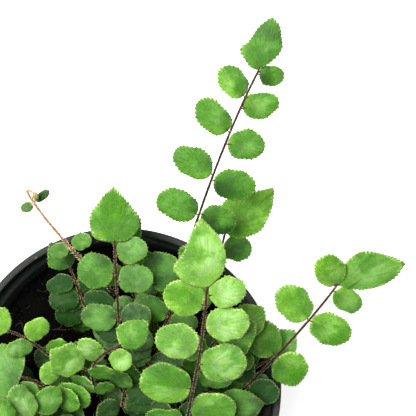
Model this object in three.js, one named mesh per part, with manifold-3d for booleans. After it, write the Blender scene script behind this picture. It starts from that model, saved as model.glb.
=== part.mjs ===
// A button fern, Pellaea rotundifolia, growing in a 4.5 inch round nursery pot.
// Millimetres, +Z up. The origin is the middle of the pot's underside.
import * as THREE from 'three';
import { mergeVertices } from 'three/addons/utils/BufferGeometryUtils.js';
import Module from 'manifold-3d';

const wasm = await Module();
wasm.setup();

// The pot.
const RIM_RADIUS = 57.5;
const POT_HEIGHT = 95;
const BASE_RADIUS = 41;
const WALL = 1.5;
const FLOOR = 2;
const COLLAR_DEPTH = 14;
const COLLAR_RADIUS = 56.6;
const SHOULDER_RADIUS = 54.1;
const LIP_DEPTH = 2.4;
const LIP_ROUND = 0.8;
const FOOT_INNER = 20;
const FOOT_OUTER = 37;
const FOOT_RISE = 1.6;
const FOOT_SLOPE = 1.5;
const DRAIN_COUNT = 6;
const DRAIN_RADIUS = 4;
const DRAIN_RING = 28.5;
const DRAIN_SIDES = 12;
const POT_SIDES = 40;

// The soil. SOIL_TOP is its highest point.
const SOIL_TOP = 77;
const SOIL_GAP = 0.35;
const SOIL_BUMP = 1.3;
const SOIL_SIDES = 28;
const SOIL_RINGS = 6;
const HOLE_DEPTH = 9.6;
const HOLE_GAP = 0.5;
const HOLE_SIDES = 6;

// The stalks: a cubic curve from the soil, and a straight lower end that stands in the soil's hole.
const STALK_BASE = 0.95;
const STALK_TIP = 0.55;
const STALK_SIDES = 4;
const STALK_STEPS = 7;
const STALK_SUNK = 9;

// The young frond's tip, which curls in towards the upper side.
const CROOK_TURN = 280;
const CROOK_STEPS = 8;
const CROOK_CLOSE = 0.6;
const CROOK_THICK = 0.8;
const BUD_FROM = 0.5;
const BUD_SWELL = 0.3;

// The leaflets: domed blades on short stubs, turned a little to the light.
const BLADE = 0.7;
const STUB = 1.4;
const NECK_SUNK = 0.15;
const CURL = 0.12;
const SAG = 0.09;
const LIGHTWARD = 0.55;
const TOOTH = 0.03;
const SIDE_POINTS = 11;
const END_POINTS = 15;
const SIDE_FORM = [0.42, 0.46, 0.42, 0.46];
const END_FORM = [0.7, 1, 0.7, 1];
const LOBE_PLACE = 0.29;
const LOBE_REACH = 0.17;

// How far leaflets keep from each other, and the lifts that one tries to come clear.
const CLEAR_OTHER = 1.7;
const CLEAR_OWN = 0.9;
const CLEAR_SIDE = 0.6;
const LIFTS = [0, 10, -10, 20, -20, 30, -30];
const RIM_TESTS = 12;
const STALK_TESTS = 24;

const BLACK_PLASTIC = 0x1b1c1e;
const PEAT = 0x1e1914;
const MID_GREEN = 0x5faa3c;
const NEW_GREEN = 0x86c34c;

const SEED = 20;
const UP = new THREE.Vector3(0, 0, 1);

// The fronds that are placed one by one. root is where a frond leaves the soil, rise and reach are the pulls
// of its curve at the root and at the tip, and face is the way its upper side looks. end is the end leaflet:
// length, width and turn. form gives its outline, lean makes its left side wider than its right, and lobe
// widens the left side near the foot. A leaflet is its side (1 right, -1 left), its place along the stalk
// from 0 to 1, its length, its width and its turn towards the tip in degrees.
const FRONDS = [
  {
    name: 'frond_tall', root: [16, 14], rise: [1, 20, 44], tip: [47.6, 108.7, 150], reach: [12, 22, 3],
    face: [0, -0.3, 1], end: [17.2, 10.8, -14], lobe: 0.3, form: [0.35, 0.8, 1.2, 0.95],
    leaflets: [
      [1, 0.98, 8.8, 6.6, 22], [-1, 0.885, 10.8, 8.4, 26], [1, 0.845, 11.2, 8.2, 34],
      [-1, 0.765, 13, 9.4, 25], [1, 0.73, 11.4, 9.7, 15], [-1, 0.635, 13.4, 9.6, 14],
      [1, 0.62, 13.4, 10.2, 6], [-1, 0.515, 13.6, 10.7, 9], [1, 0.52, 11.5, 10, -5],
    ],
  },
  {
    name: 'frond_behind', root: [24, 6], rise: [3, 10, 22], tip: [37.4, 56.4, 108], reach: [3, 12, 2],
    face: [0, -0.2, 1], end: [22.4, 15.5, 33], form: [0.4, 1.2, 0.4, 0.7],
    leaflets: [[1, 0.86, 9.2, 9, 12], [-1, 0.7, 9, 8, 10]],
  },
  {
    name: 'frond_right', root: [24, -18], rise: [6, 2, 20], tip: [75, 38.5, 122], reach: [12, 17, 2],
    face: [0.1, -0.1, 1], end: [24.4, 12.8, 38], form: [0.75, 1, 1, 0.85], lean: 0.21,
    leaflets: [
      [-1, 0.985, 13, 10.2, 33], [1, 0.965, 13, 8, -2], [-1, 0.8, 13.4, 11.4, 11], [1, 0.8, 14.2, 10.8, 14],
      [-1, 0.62, 13.4, 12.2, 16], [1, 0.62, 11.8, 12.6, -10], [1, 0.47, 10, 9.2, 15],
      [-1, 0.48, 9.6, 9, 20],
    ],
  },
  {
    name: 'frond_crown', root: [22, -22], rise: [0, 6, 40], tip: [31, 40, 160], reach: [1, 22, 8],
    face: [0, -0.5, 1], end: [22, 13.8, -7], lobe: 0.35, form: [0.35, 0.8, 0.8, 1.05],
    leaflets: [
      [-1, 0.91, 12.4, 11.6, 18], [1, 0.955, 11, 9.6, 16], [1, 0.82, 13.2, 11.2, 12],
      [-1, 0.72, 13.4, 12.2, 14], [1, 0.645, 14.4, 13.2, 8], [-1, 0.52, 16.4, 14.8, 4],
      [1, 0.4, 14.4, 12.8, 8], [-1, 0.28, 13, 12, 8],
    ],
  },
  {
    name: 'frond_upright', root: [2, -3], rise: [0, 6, 30], tip: [0.5, 53.6, 135], reach: [0, 20, 8],
    face: [0, -0.4, 1], end: [18.8, 16.4, 0], form: [0.38, 0.95, 0.38, 0.95],
    leaflets: [
      [1, 0.92, 9.6, 9, 18], [-1, 0.83, 11.4, 12, 10], [1, 0.79, 10.8, 10, 6], [-1, 0.6, 11.4, 9.8, 8],
      [1, 0.6, 9.6, 9.4, 10],
    ],
  },
  {
    name: 'frond_crosier', root: [2, 28], rise: [-4, 6, 22], tip: [-26.9, 69.6, 145], reach: [-3, 9, 10],
    face: [0, -0.3, 1], crook: 2.2,
    leaflets: [
      [-1, 0.9, 4, 3.6, -20], [1, 0.9, 5.4, 3, 20], [-1, 0.57, 5.8, 5.8, 10], [1, 0.56, 6.4, 6.2, 10],
    ],
  },
  {
    name: 'frond_bowed', root: [-8, -9], rise: [1, 14, 38], tip: [3.1, 20.4, 145], reach: [15, 6.4, -1],
    face: [-0.1, -0.3, 1], end: [11.6, 9.6, -17],
    leaflets: [
      [1, 0.95, 7.2, 7, 0], [-1, 0.7, 11.6, 8.8, 62], [1, 0.66, 9, 7.8, -50], [-1, 0.34, 9.8, 8.2, -40],
      [1, 0.32, 6.8, 6.4, -40],
    ],
  },
  {
    name: 'frond_westerly', root: [-18, 2], rise: [-2, 8, 34], tip: [-34.2, 24.3, 138], reach: [-8, 2, 2],
    face: [0, -0.2, 1], end: [12, 9.6, 28],
    leaflets: [[1, 0.8, 8, 7.6, -22], [-1, 0.65, 8.4, 6.8, 28], [1, 0.5, 6.5, 6, 10]],
  },
  {
    name: 'frond_nook', root: [-2, 3], rise: [-1, 1, 24], tip: [-11.7, 10, 118], reach: [-6, 3, 2],
    face: [0, -0.2, 1], end: [14.5, 13, 10],
    leaflets: [[-1, 0.75, 8, 7, 10]],
  },
  {
    name: 'frond_low_west', root: [-22, -14], rise: [1, 12, 28], tip: [-31.6, 7.9, 126],
    reach: [-9.6, 2.4, 2], face: [0, -0.2, 1], end: [19, 18, 0], form: [0.36, 0.9, 0.36, 0.9],
    leaflets: [[-1, 0.45, 10.4, 7.2, 15], [-1, 0.8, 9, 8, -5], [1, 0.7, 8, 7, 5], [1, 0.45, 12, 11.5, 10]],
  },
  {
    name: 'frond_flank', root: [22, -8], rise: [2, 6, 30], tip: [34, 21, 133], reach: [6, 8, 5],
    face: [0, -0.2, 1], end: [15, 17, 28],
    leaflets: [[1, 0.8, 13, 12, -10], [-1, 0.8, 11, 10, 10], [1, 0.6, 11, 10, 0]],
  },
  {
    name: 'frond_flank_low', root: [28, -2], rise: [3, 5, 22], tip: [42, 23, 120], reach: [5, 8, 4],
    face: [0, -0.2, 1], end: [12, 12, 10],
    leaflets: [[1, 0.7, 9, 8, 5]],
  },
  {
    name: 'frond_shaded', root: [31, -9], rise: [5, 4, 16], tip: [53, 11.5, 102], reach: [9, 5, 2],
    face: [0, -0.1, 1], end: [13.5, 12, -20],
    leaflets: [[-1, 0.8, 9, 8, 10], [1, 0.7, 9, 8, 0]],
  },
  {
    name: 'frond_lip', root: [27, -27], rise: [1, 7, 20], tip: [34, -6, 110], reach: [5, 6, 3],
    face: [0, -0.2, 1], end: [17, 14, 40], lobe: -0.15,
    leaflets: [[1, 0.7, 11, 10, 5], [-1, 0.75, 10, 9, 10]],
  },
  {
    name: 'frond_mid', root: [9, 3], rise: [2, 8, 24], tip: [25, 43, 120], reach: [6, 12, 3],
    face: [0, -0.2, 1], end: [15, 13, 0],
    leaflets: [[-1, 0.87, 14.4, 12.6, 15], [-1, 0.62, 10, 9, 8], [1, 0.8, 10, 9, 10], [1, 0.6, 9, 8, 10]],
  },
  {
    name: 'frond_rear', root: [8, 19], rise: [0, 8, 20], tip: [2.3, 51, 118], reach: [0, 10, 3],
    face: [0, -0.2, 1], end: [16, 13.4, 2],
    leaflets: [[1, 0.8, 9, 8, 10], [-1, 0.7, 9, 8, 10]],
  },
  {
    name: 'frond_rear_west', root: [-9, 16], rise: [-2, 8, 16], tip: [-17, 44, 106], reach: [-3, 9, 3],
    face: [0, -0.2, 1], end: [11, 9.6, -20],
    leaflets: [
      [1, 0.8, 8, 7.4, -20], [-1, 0.84, 9, 7, -5], [1, 0.6, 11, 8, -5], [-1, 0.62, 10, 8.6, 5],
      [-1, 0.42, 10, 9, 5],
    ],
  },
  {
    name: 'frond_heart', root: [7, -10], rise: [0, 7, 20], tip: [12, 24, 105], reach: [1, 10, 2],
    face: [0, -0.2, 1], end: [12, 11, -28],
    leaflets: [[1, 0.85, 10, 9, 10], [-1, 0.78, 11, 10, 5], [1, 0.6, 11, 10, 5], [-1, 0.52, 10, 9, 5]],
  },
  {
    name: 'frond_thicket', root: [-11, -3], rise: [-1, 2, 18], tip: [-14, 7, 104], reach: [-1, 6, 3],
    face: [0, -0.2, 1], end: [12, 11.5, 6],
    leaflets: [[1, 0.85, 9.5, 9, 5], [-1, 0.8, 10, 9, 0], [1, 0.6, 10, 9, 5], [-1, 0.55, 10, 9, 5]],
  },
  {
    name: 'frond_core', root: [-1, -9], rise: [1, 1, 16], tip: [2, 2, 100], reach: [1, 7, 2],
    face: [0, -0.2, 1], end: [11, 10, 8],
    leaflets: [[1, 0.85, 10.5, 9, 5], [-1, 0.8, 9, 8, 5], [1, 0.58, 10, 9, 5], [-1, 0.52, 9, 8, 5]],
  },
];

// The rest of the clump: fronds that lean outward round its near side, in two rings. Angles are in degrees,
// and each vary value is how far a draw strays to either side.
const SPREAD = {
  count: 10, first: 183, sweep: 126, angleVary: 4,
  leanVary: 0.15, heightVary: 9, sway: 6,
  topPlace: 0.92, spacing: 0.085, placeVary: 0.012,
  topLength: 0.72, lengthStep: 0.05, lengthVary: 0.1,
};
const OUTER_RING = { root: 30, lean: 44, height: 118, pull: 22, leaflets: 6, long: 12 };
const INNER_RING = { root: 15, lean: 27, height: 138, pull: 34, leaflets: 7, long: 12.5 };

// A seeded draw by linear congruence.
function seededDraw(seed) {
  let state = seed;
  return (low, high) => {
    state = (state * 1664525 + 1013904223) % 4294967296;
    return low + ((high - low) * state) / 4294967296;
  };
}

const radians = THREE.MathUtils.degToRad;

// The leaflets of one spread frond, from its tip down, on either side in turn.
function spreadLeaflets(ring, draw) {
  const leaflets = [];
  for (let i = 0; i < ring.leaflets; i += 1) {
    const place = SPREAD.topPlace - SPREAD.spacing * i + draw(-SPREAD.placeVary, SPREAD.placeVary);
    const growth = SPREAD.topLength + SPREAD.lengthStep * i;
    const long = ring.long * growth * draw(1 - SPREAD.lengthVary, 1 + SPREAD.lengthVary);
    leaflets.push([i % 2 ? -1 : 1, place, long, long * draw(0.76, 0.92), draw(4, 24)]);
  }
  return leaflets;
}

function spreadFrond(index, draw) {
  const ring = index % 2 ? INNER_RING : OUTER_RING;
  const middle = SPREAD.first + (SPREAD.sweep * index) / (SPREAD.count - 1);
  const angle = radians(middle + draw(-SPREAD.angleVary, SPREAD.angleVary));
  const out = new THREE.Vector2(Math.cos(angle), Math.sin(angle));
  const lean = ring.lean * draw(1 - SPREAD.leanVary, 1 + SPREAD.leanVary);
  const sway = draw(-SPREAD.sway, SPREAD.sway);
  const height = ring.height + draw(-SPREAD.heightVary, SPREAD.heightVary);
  const tipRadius = ring.root + lean;
  return {
    name: `frond_spread_${index + 1}`,
    root: [out.x * ring.root, out.y * ring.root],
    rise: [out.x * 3, out.y * 3, ring.pull],
    tip: [out.x * tipRadius - out.y * sway, out.y * tipRadius + out.x * sway, height],
    reach: [out.x * lean * 0.4, out.y * lean * 0.4, 7],
    face: [-out.x * 0.15, -out.y * 0.15, 1],
    leaflets: spreadLeaflets(ring, draw),
    end: [ring.long * draw(1.1, 1.4), ring.long * draw(0.85, 1), draw(-12, 12)],
  };
}

// A point of a frond's curve, with its tangent, its upward normal and its right-hand side.
function stalkAxes(frond, t) {
  const a = new THREE.Vector3(frond.root[0], frond.root[1], SOIL_TOP);
  const b = new THREE.Vector3(...frond.rise).add(a);
  const d = new THREE.Vector3(...frond.tip);
  const c = new THREE.Vector3(...frond.reach).negate().add(d);
  const curve = new THREE.CubicBezierCurve3(a, b, c, d);
  const point = curve.getPoint(t);
  const tangent = curve.getTangent(t);
  const normal = new THREE.Vector3(...frond.face);
  normal.addScaledVector(tangent, -normal.dot(tangent)).normalize();
  const right = new THREE.Vector3().crossVectors(tangent, normal);
  return { point, tangent, normal, right };
}

// Where a blade sits: u runs out along it, v across it and w up from its face.
function placeBlade(frond, leaflet, lift) {
  const [side, t, length, width, forward] = leaflet;
  const { point, tangent, normal, right } = stalkAxes(frond, t);
  const turn = radians(forward);
  const u = new THREE.Vector3();
  if (side) {
    u.addScaledVector(right, side * Math.cos(turn)).addScaledVector(tangent, Math.sin(turn));
  } else {
    u.addScaledVector(tangent, Math.cos(turn)).addScaledVector(right, Math.sin(turn));
  }
  u.multiplyScalar(Math.cos(radians(lift))).addScaledVector(normal, Math.sin(radians(lift))).normalize();
  const w = new THREE.Vector3().addScaledVector(normal, 1 - LIGHTWARD).addScaledVector(UP, LIGHTWARD);
  w.addScaledVector(u, -w.dot(u)).normalize();
  const v = new THREE.Vector3().crossVectors(w, u);
  const start = side ? STUB : 0;
  return { frond, side, t, lift, length, width, start, point, u, v, w };
}

// How far the domed blade drops below its own plane at (along, across).
function drop(blade, along, across) {
  const run = along - blade.start;
  return (CURL * across * across) / (blade.width / 2) + (SAG * run * run) / blade.length;
}

function bladePoint(blade, along, across, above) {
  return blade.point
    .clone()
    .addScaledVector(blade.u, along)
    .addScaledVector(blade.v, across)
    .addScaledVector(blade.w, above - drop(blade, along, across));
}

// The point's place over a blade: where it lies along and across, and its height above the face.
function overBlade(blade, point) {
  const away = point.clone().sub(blade.point);
  const along = away.dot(blade.u);
  const across = away.dot(blade.v);
  const x = (along - blade.start - blade.length / 2) / (blade.length / 2 + CLEAR_SIDE);
  const y = across / (blade.width / 2 + CLEAR_SIDE);
  return { inside: x * x + y * y < 1, above: away.dot(blade.w) + drop(blade, along, across) };
}

// True where a run of points comes nearer the blade than clear, or passes through it.
function runMeetsBlade(blade, points, clear) {
  let last = null;
  for (const point of points) {
    const here = overBlade(blade, point);
    if (here.inside && Math.abs(here.above) < clear) return true;
    if (last && last.above * here.above < 0 && (last.inside || here.inside)) return true;
    last = here;
  }
  return false;
}

function bladeRim(blade) {
  const rim = [bladePoint(blade, blade.start + blade.length / 2, 0, 0)];
  for (let i = 0; i <= RIM_TESTS; i += 1) {
    const angle = (2 * Math.PI * i) / RIM_TESTS;
    const along = blade.start + (blade.length / 2) * (1 - Math.cos(angle));
    rim.push(bladePoint(blade, along, (blade.width / 2) * Math.sin(angle), 0));
  }
  return rim;
}

// The soil's bumpy surface: two crossed waves of unlike length, which together never rise above SOIL_TOP.
function soilHeight(x, y) {
  const broad = Math.sin(0.21 * x + 1.3) * Math.cos(0.17 * y);
  const small = 0.5 * Math.sin(0.47 * x - 0.39 * y);
  return SOIL_TOP + SOIL_BUMP * (broad + small - 1.5);
}

// True where a blade comes too near the pot's rim or the soil.
function meetsPot(rim) {
  const inner = SHOULDER_RADIUS - WALL - 1;
  const outer = RIM_RADIUS + 1.5;
  return rim.some((p) => {
    const radius = Math.hypot(p.x, p.y);
    const atRim = radius > inner && radius < outer && p.z < POT_HEIGHT + 1.5;
    const inSoil = radius <= inner && p.z < soilHeight(p.x, p.y) + 1.5;
    return atRim || inSoil;
  });
}

function stalkRun(frond) {
  const points = [];
  for (let i = 0; i <= STALK_TESTS; i += 1) points.push(stalkAxes(frond, i / STALK_TESTS).point);
  return points;
}

function bladeIsClear(blade, placed, stalks) {
  const rim = bladeRim(blade);
  if (meetsPot(rim)) return false;
  for (const { frond, points } of stalks) {
    if (frond !== blade.frond && runMeetsBlade(blade, points, CLEAR_OTHER)) return false;
  }
  for (const other of placed) {
    const own = other.frond === blade.frond;
    const clear = own ? CLEAR_OWN : CLEAR_OTHER;
    const apart = blade.point.distanceTo(other.point) > blade.length + other.length + 6;
    if (!apart && runMeetsBlade(other, rim, clear)) return false;
    if (!apart && runMeetsBlade(blade, other.rim, clear)) return false;
  }
  blade.rim = rim;
  return true;
}

// Every blade of every frond, each at the first lift that is clear. One that is never clear is left out.
function placeBlades(fronds) {
  const stalks = fronds.map((frond) => ({ frond, points: stalkRun(frond) }));
  const placed = [];
  for (const frond of fronds) {
    const wanted = [...frond.leaflets];
    if (frond.end) wanted.unshift([0, 1, ...frond.end]);
    for (const leaflet of wanted) {
      const tries = LIFTS.map((lift) => placeBlade(frond, leaflet, lift));
      const blade = tries.find((each) => bladeIsClear(each, placed, stalks));
      if (blade) placed.push(blade);
    }
  }
  return placed;
}

// The blade's edge at s, which runs from 0 at its foot to 1 at its tip, on its left (1) or its right (-1).
// A form is the powers of the outline's base and tip on the left, and then on the right.
function edge(blade, s, hand) {
  const { form = END_FORM, lean = 0, lobe = 0 } = blade.side ? { form: SIDE_FORM } : blade.frond;
  const [base, tip] = hand > 0 ? form.slice(0, 2) : form.slice(2);
  const peak = (base / (base + tip)) ** base * (tip / (base + tip)) ** tip;
  const half = ((blade.width / 2) * (1 + hand * lean) * s ** base * (1 - s) ** tip) / peak;
  const swell = hand > 0 ? lobe * Math.exp(-(((s - LOBE_PLACE) / LOBE_REACH) ** 2)) : 0;
  return hand * half * (1 + swell);
}

// A flat drum bent to a blade: its rim follows the toothed outline, its foot is a neck sunk in the stalk.
function bladeGeometry(blade) {
  const points = blade.side ? SIDE_POINTS : END_POINTS;
  const drum = new THREE.CylinderGeometry(1, 1, 1, points, 1);
  const place = drum.attributes.position;
  const middle = blade.start + 0.5 * blade.length;
  for (let i = 0; i < place.count; i += 1) {
    const above = place.getY(i) * BLADE;
    const radius = Math.hypot(place.getX(i), place.getZ(i));
    let along = middle;
    let across = 0;
    if (radius > 0.5) {
      const step = Math.round((Math.atan2(place.getX(i), place.getZ(i)) / (2 * Math.PI)) * points);
      const index = (step + points) % points;
      if (index === 0) {
        along = -NECK_SUNK;
      } else {
        const angle = (2 * Math.PI * index) / points;
        const s = (1 - Math.cos(angle)) / 2;
        const tooth = 1 + TOOTH * (index % 2 ? 1 : -1);
        along = middle + (s - 0.5) * blade.length * tooth;
        across = edge(blade, s, -Math.sign(Math.sin(angle))) * tooth;
      }
    }
    const bent = bladePoint(blade, along, across, above);
    place.setXYZ(i, bent.x, bent.y, bent.z);
  }
  return drum;
}

// The rings of a stalk from its sunk end to its tip: a middle, two directions across and a radius.
function stalkRings(frond) {
  const rings = [];
  for (let i = 0; i <= STALK_STEPS; i += 1) {
    const t = i / STALK_STEPS;
    const { point, normal, right } = stalkAxes(frond, t);
    rings.push({ point, side: right, front: normal, radius: STALK_BASE + (STALK_TIP - STALK_BASE) * t });
  }
  const side = rings[0].side.clone().setZ(0).normalize();
  const front = new THREE.Vector3().crossVectors(side, UP);
  Object.assign(rings[0], { side, front });
  const sunk = rings[0].point.clone().addScaledVector(UP, -STALK_SUNK);
  rings.unshift({ point: sunk, side, front, radius: STALK_BASE });
  if (frond.crook) rings.push(...crookRings(frond));
  return rings;
}

// The curled tip: an arc of shrinking radius, which leans half way to the frond's upper side and swells to a
// bud at its end.
function crookRings(frond) {
  const { point, tangent, normal, right } = stalkAxes(frond, 1);
  const inward = right.clone().add(normal).normalize();
  const across = new THREE.Vector3().crossVectors(inward, tangent);
  const rings = [];
  for (let i = 1; i <= CROOK_STEPS; i += 1) {
    const part = i / CROOK_STEPS;
    const turn = radians(CROOK_TURN * part);
    const radius = frond.crook * (1 - CROOK_CLOSE * part);
    const middle = point
      .clone()
      .addScaledVector(inward, frond.crook - radius * Math.cos(turn))
      .addScaledVector(tangent, radius * Math.sin(turn));
    const out = inward.clone().multiplyScalar(-Math.cos(turn)).addScaledVector(tangent, Math.sin(turn));
    const bud = Math.max(0, (part - BUD_FROM) / (1 - BUD_FROM));
    rings.push({
      point: middle,
      side: out.clone().add(across).multiplyScalar(-Math.SQRT1_2),
      front: across.clone().sub(out).multiplyScalar(Math.SQRT1_2),
      radius: STALK_TIP * CROOK_THICK + BUD_SWELL * Math.sin(Math.PI * bud),
    });
  }
  return rings;
}

// A drum of a few sides whose rings are moved to the stalk's.
function stalkGeometry(frond) {
  const rings = stalkRings(frond);
  const stalk = new THREE.CylinderGeometry(1, 1, 1, STALK_SIDES, rings.length - 1);
  const place = stalk.attributes.position;
  for (let i = 0; i < place.count; i += 1) {
    const ring = rings[Math.round((place.getY(i) + 0.5) * (rings.length - 1))];
    const moved = ring.point
      .clone()
      .addScaledVector(ring.side, place.getX(i) * ring.radius)
      .addScaledVector(ring.front, place.getZ(i) * ring.radius);
    place.setXYZ(i, moved.x, moved.y, moved.z);
  }
  return stalk;
}

function toSolid(geometry) {
  geometry.deleteAttribute('normal');
  geometry.deleteAttribute('uv');
  const merged = mergeVertices(geometry, 1e-4);
  const mesh = new wasm.Mesh({
    numProp: 3,
    vertProperties: new Float32Array(merged.attributes.position.array),
    triVerts: new Uint32Array(merged.index.array),
  });
  return new wasm.Manifold(mesh);
}

function toGeometry(solid) {
  const mesh = solid.getMesh();
  const geometry = new THREE.BufferGeometry();
  geometry.setAttribute('position', new THREE.BufferAttribute(mesh.vertProperties, 3));
  geometry.setIndex(new THREE.BufferAttribute(mesh.triVerts, 1));
  geometry.computeVertexNormals();
  return geometry;
}

function upright(geometry) {
  return geometry.rotateX(Math.PI / 2);
}

// The pot's half section, up the outside from the middle of its foot and down the inside to its floor.
function potProfile() {
  const shoulder = POT_HEIGHT - COLLAR_DEPTH;
  const lift = FLOOR + FOOT_RISE;
  const inside = SHOULDER_RADIUS - WALL;
  const rows = [
    [0, 0],
    [FOOT_INNER, 0],
    [FOOT_INNER + FOOT_SLOPE, FOOT_RISE],
    [FOOT_OUTER - FOOT_SLOPE, FOOT_RISE],
    [FOOT_OUTER, 0],
    [BASE_RADIUS - 1, 0],
    [BASE_RADIUS, 1],
    [SHOULDER_RADIUS, shoulder],
    [COLLAR_RADIUS, shoulder + WALL],
    [COLLAR_RADIUS, POT_HEIGHT - LIP_DEPTH],
    [RIM_RADIUS, POT_HEIGHT - LIP_DEPTH + LIP_ROUND],
    [RIM_RADIUS, POT_HEIGHT - LIP_ROUND],
    [RIM_RADIUS - LIP_ROUND, POT_HEIGHT],
    [COLLAR_RADIUS - WALL + LIP_ROUND, POT_HEIGHT],
    [COLLAR_RADIUS - WALL, POT_HEIGHT - LIP_ROUND],
    [COLLAR_RADIUS - WALL, shoulder + 2 * WALL],
    [inside, shoulder + WALL],
    [BASE_RADIUS - WALL, lift],
    [FOOT_OUTER - FOOT_SLOPE, lift],
    [0, lift],
  ];
  return rows.map(([radius, height]) => new THREE.Vector2(radius, height));
}

function potGeometry() {
  let pot = toSolid(upright(new THREE.LatheGeometry(potProfile(), POT_SIDES)));
  for (let i = 0; i < DRAIN_COUNT; i += 1) {
    const angle = (2 * Math.PI * i) / DRAIN_COUNT;
    const drain = upright(new THREE.CylinderGeometry(DRAIN_RADIUS, DRAIN_RADIUS, 20, DRAIN_SIDES));
    drain.translate(DRAIN_RING * Math.cos(angle), DRAIN_RING * Math.sin(angle), 0);
    pot = pot.subtract(toSolid(drain));
  }
  return toGeometry(pot);
}

// The pot's inner radius at a height below its collar.
function innerRadius(height) {
  const shoulder = POT_HEIGHT - COLLAR_DEPTH;
  const part = (height - FLOOR - FOOT_RISE) / (shoulder + WALL - FLOOR - FOOT_RISE);
  return THREE.MathUtils.lerp(BASE_RADIUS - WALL, SHOULDER_RADIUS - WALL, part);
}

function soilGeometry(fronds) {
  const bottom = FLOOR + FOOT_RISE + SOIL_GAP;
  const edge = SOIL_TOP - 3 * SOIL_BUMP;
  const wide = innerRadius(edge) - SOIL_GAP;
  const profile = [new THREE.Vector2(0, bottom), new THREE.Vector2(innerRadius(bottom) - SOIL_GAP, bottom)];
  for (let i = SOIL_RINGS; i >= 0; i -= 1) profile.push(new THREE.Vector2((wide * i) / SOIL_RINGS, edge));
  const mound = upright(new THREE.LatheGeometry(profile, SOIL_SIDES));
  const place = mound.attributes.position;
  for (let i = 0; i < place.count; i += 1) {
    const x = place.getX(i);
    const y = place.getY(i);
    const within = Math.hypot(x, y) < wide - 0.1;
    if (within && place.getZ(i) > edge - 0.1) place.setZ(i, soilHeight(x, y));
  }
  let soil = toSolid(mound);
  for (const frond of fronds) {
    const radius = STALK_BASE + HOLE_GAP;
    const hole = upright(new THREE.CylinderGeometry(radius, radius, 2 * HOLE_DEPTH, HOLE_SIDES));
    hole.translate(frond.root[0], frond.root[1], SOIL_TOP);
    soil = soil.subtract(toSolid(hole));
  }
  return toGeometry(soil);
}

function frondGeometry(frond, blades) {
  let solid = toSolid(stalkGeometry(frond));
  for (const blade of blades) solid = solid.add(toSolid(bladeGeometry(blade)));
  return toGeometry(solid);
}

function named(name, geometry, color, roughness) {
  const material = new THREE.MeshStandardMaterial({ color, roughness, metalness: 0 });
  const mesh = new THREE.Mesh(geometry, material);
  mesh.name = name;
  return mesh;
}

const draw = seededDraw(SEED);
const fronds = [...FRONDS];
for (let i = 0; i < SPREAD.count; i += 1) fronds.push(spreadFrond(i, draw));
const blades = placeBlades(fronds);

const plant = new THREE.Group();
plant.add(named('pot', potGeometry(), BLACK_PLASTIC, 0.45));
plant.add(named('soil', soilGeometry(fronds), PEAT, 0.95));
for (const frond of fronds) {
  const own = blades.filter((blade) => blade.frond === frond);
  plant.add(named(frond.name, frondGeometry(frond, own), frond.crook ? NEW_GREEN : MID_GREEN, 0.45));
}

export default plant;
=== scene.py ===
"""A button fern, Pellaea rotundifolia, growing in a 4.5 inch round nursery pot.

The fronds grow by the same rule as the frame's solids: a cubic curve for each stalk, and domed leaflets on
short stubs that lift or drop until they come clear. Sizes are in millimetres, and become metres in each mesh.
"""
import math

import bpy
import numpy as np
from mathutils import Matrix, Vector


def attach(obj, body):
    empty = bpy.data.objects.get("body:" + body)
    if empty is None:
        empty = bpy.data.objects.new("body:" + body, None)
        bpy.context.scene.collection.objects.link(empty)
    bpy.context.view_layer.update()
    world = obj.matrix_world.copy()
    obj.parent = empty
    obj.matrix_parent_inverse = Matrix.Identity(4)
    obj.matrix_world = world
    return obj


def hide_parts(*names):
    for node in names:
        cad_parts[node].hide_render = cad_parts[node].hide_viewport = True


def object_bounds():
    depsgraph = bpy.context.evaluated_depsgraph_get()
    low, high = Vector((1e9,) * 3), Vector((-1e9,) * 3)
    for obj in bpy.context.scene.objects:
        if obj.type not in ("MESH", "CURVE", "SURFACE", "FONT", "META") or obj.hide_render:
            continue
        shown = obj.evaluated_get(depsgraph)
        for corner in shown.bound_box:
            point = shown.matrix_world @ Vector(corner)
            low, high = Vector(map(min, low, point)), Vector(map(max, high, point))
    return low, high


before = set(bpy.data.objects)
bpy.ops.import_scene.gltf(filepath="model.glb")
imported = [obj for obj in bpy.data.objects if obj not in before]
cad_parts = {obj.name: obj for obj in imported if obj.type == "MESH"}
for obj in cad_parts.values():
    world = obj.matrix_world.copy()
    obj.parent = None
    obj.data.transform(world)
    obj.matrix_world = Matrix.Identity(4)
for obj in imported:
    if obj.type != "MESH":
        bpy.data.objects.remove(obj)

CAD_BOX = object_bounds()
MM = 0.001
UP = np.array([0.0, 0.0, 1.0])

# The pot, as its solid has it. Its base rises between an inner and an outer foot ring, where the drains are.
RIM_RADIUS = 57.5
RIM_WIDTH = 2.4
POT_HEIGHT = 95.0
BASE_RADIUS = 41.0
WALL = 1.5
FLOOR = 2.0
COLLAR_DEPTH = 14.0
COLLAR_RADIUS = 56.6
SHOULDER = POT_HEIGHT - COLLAR_DEPTH
SHOULDER_RADIUS = 54.1
LIP_DEPTH = 2.4
LIP_ROUND = 0.8
WALL_CUT = 0.9
FOOT_CUT = 0.5
FOOT_INNER = 20.0
FOOT_OUTER = 37.0
FOOT_RISE = 1.6
FOOT_SLOPE = 1.5
PLATE_TOP = FOOT_RISE + FLOOR
PLATE_MARGIN = 0.7
DRAIN_COUNT = 6
DRAIN_RADIUS = 4.0
DRAIN_RING = 28.5
POT_SIDES = 192

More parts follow.
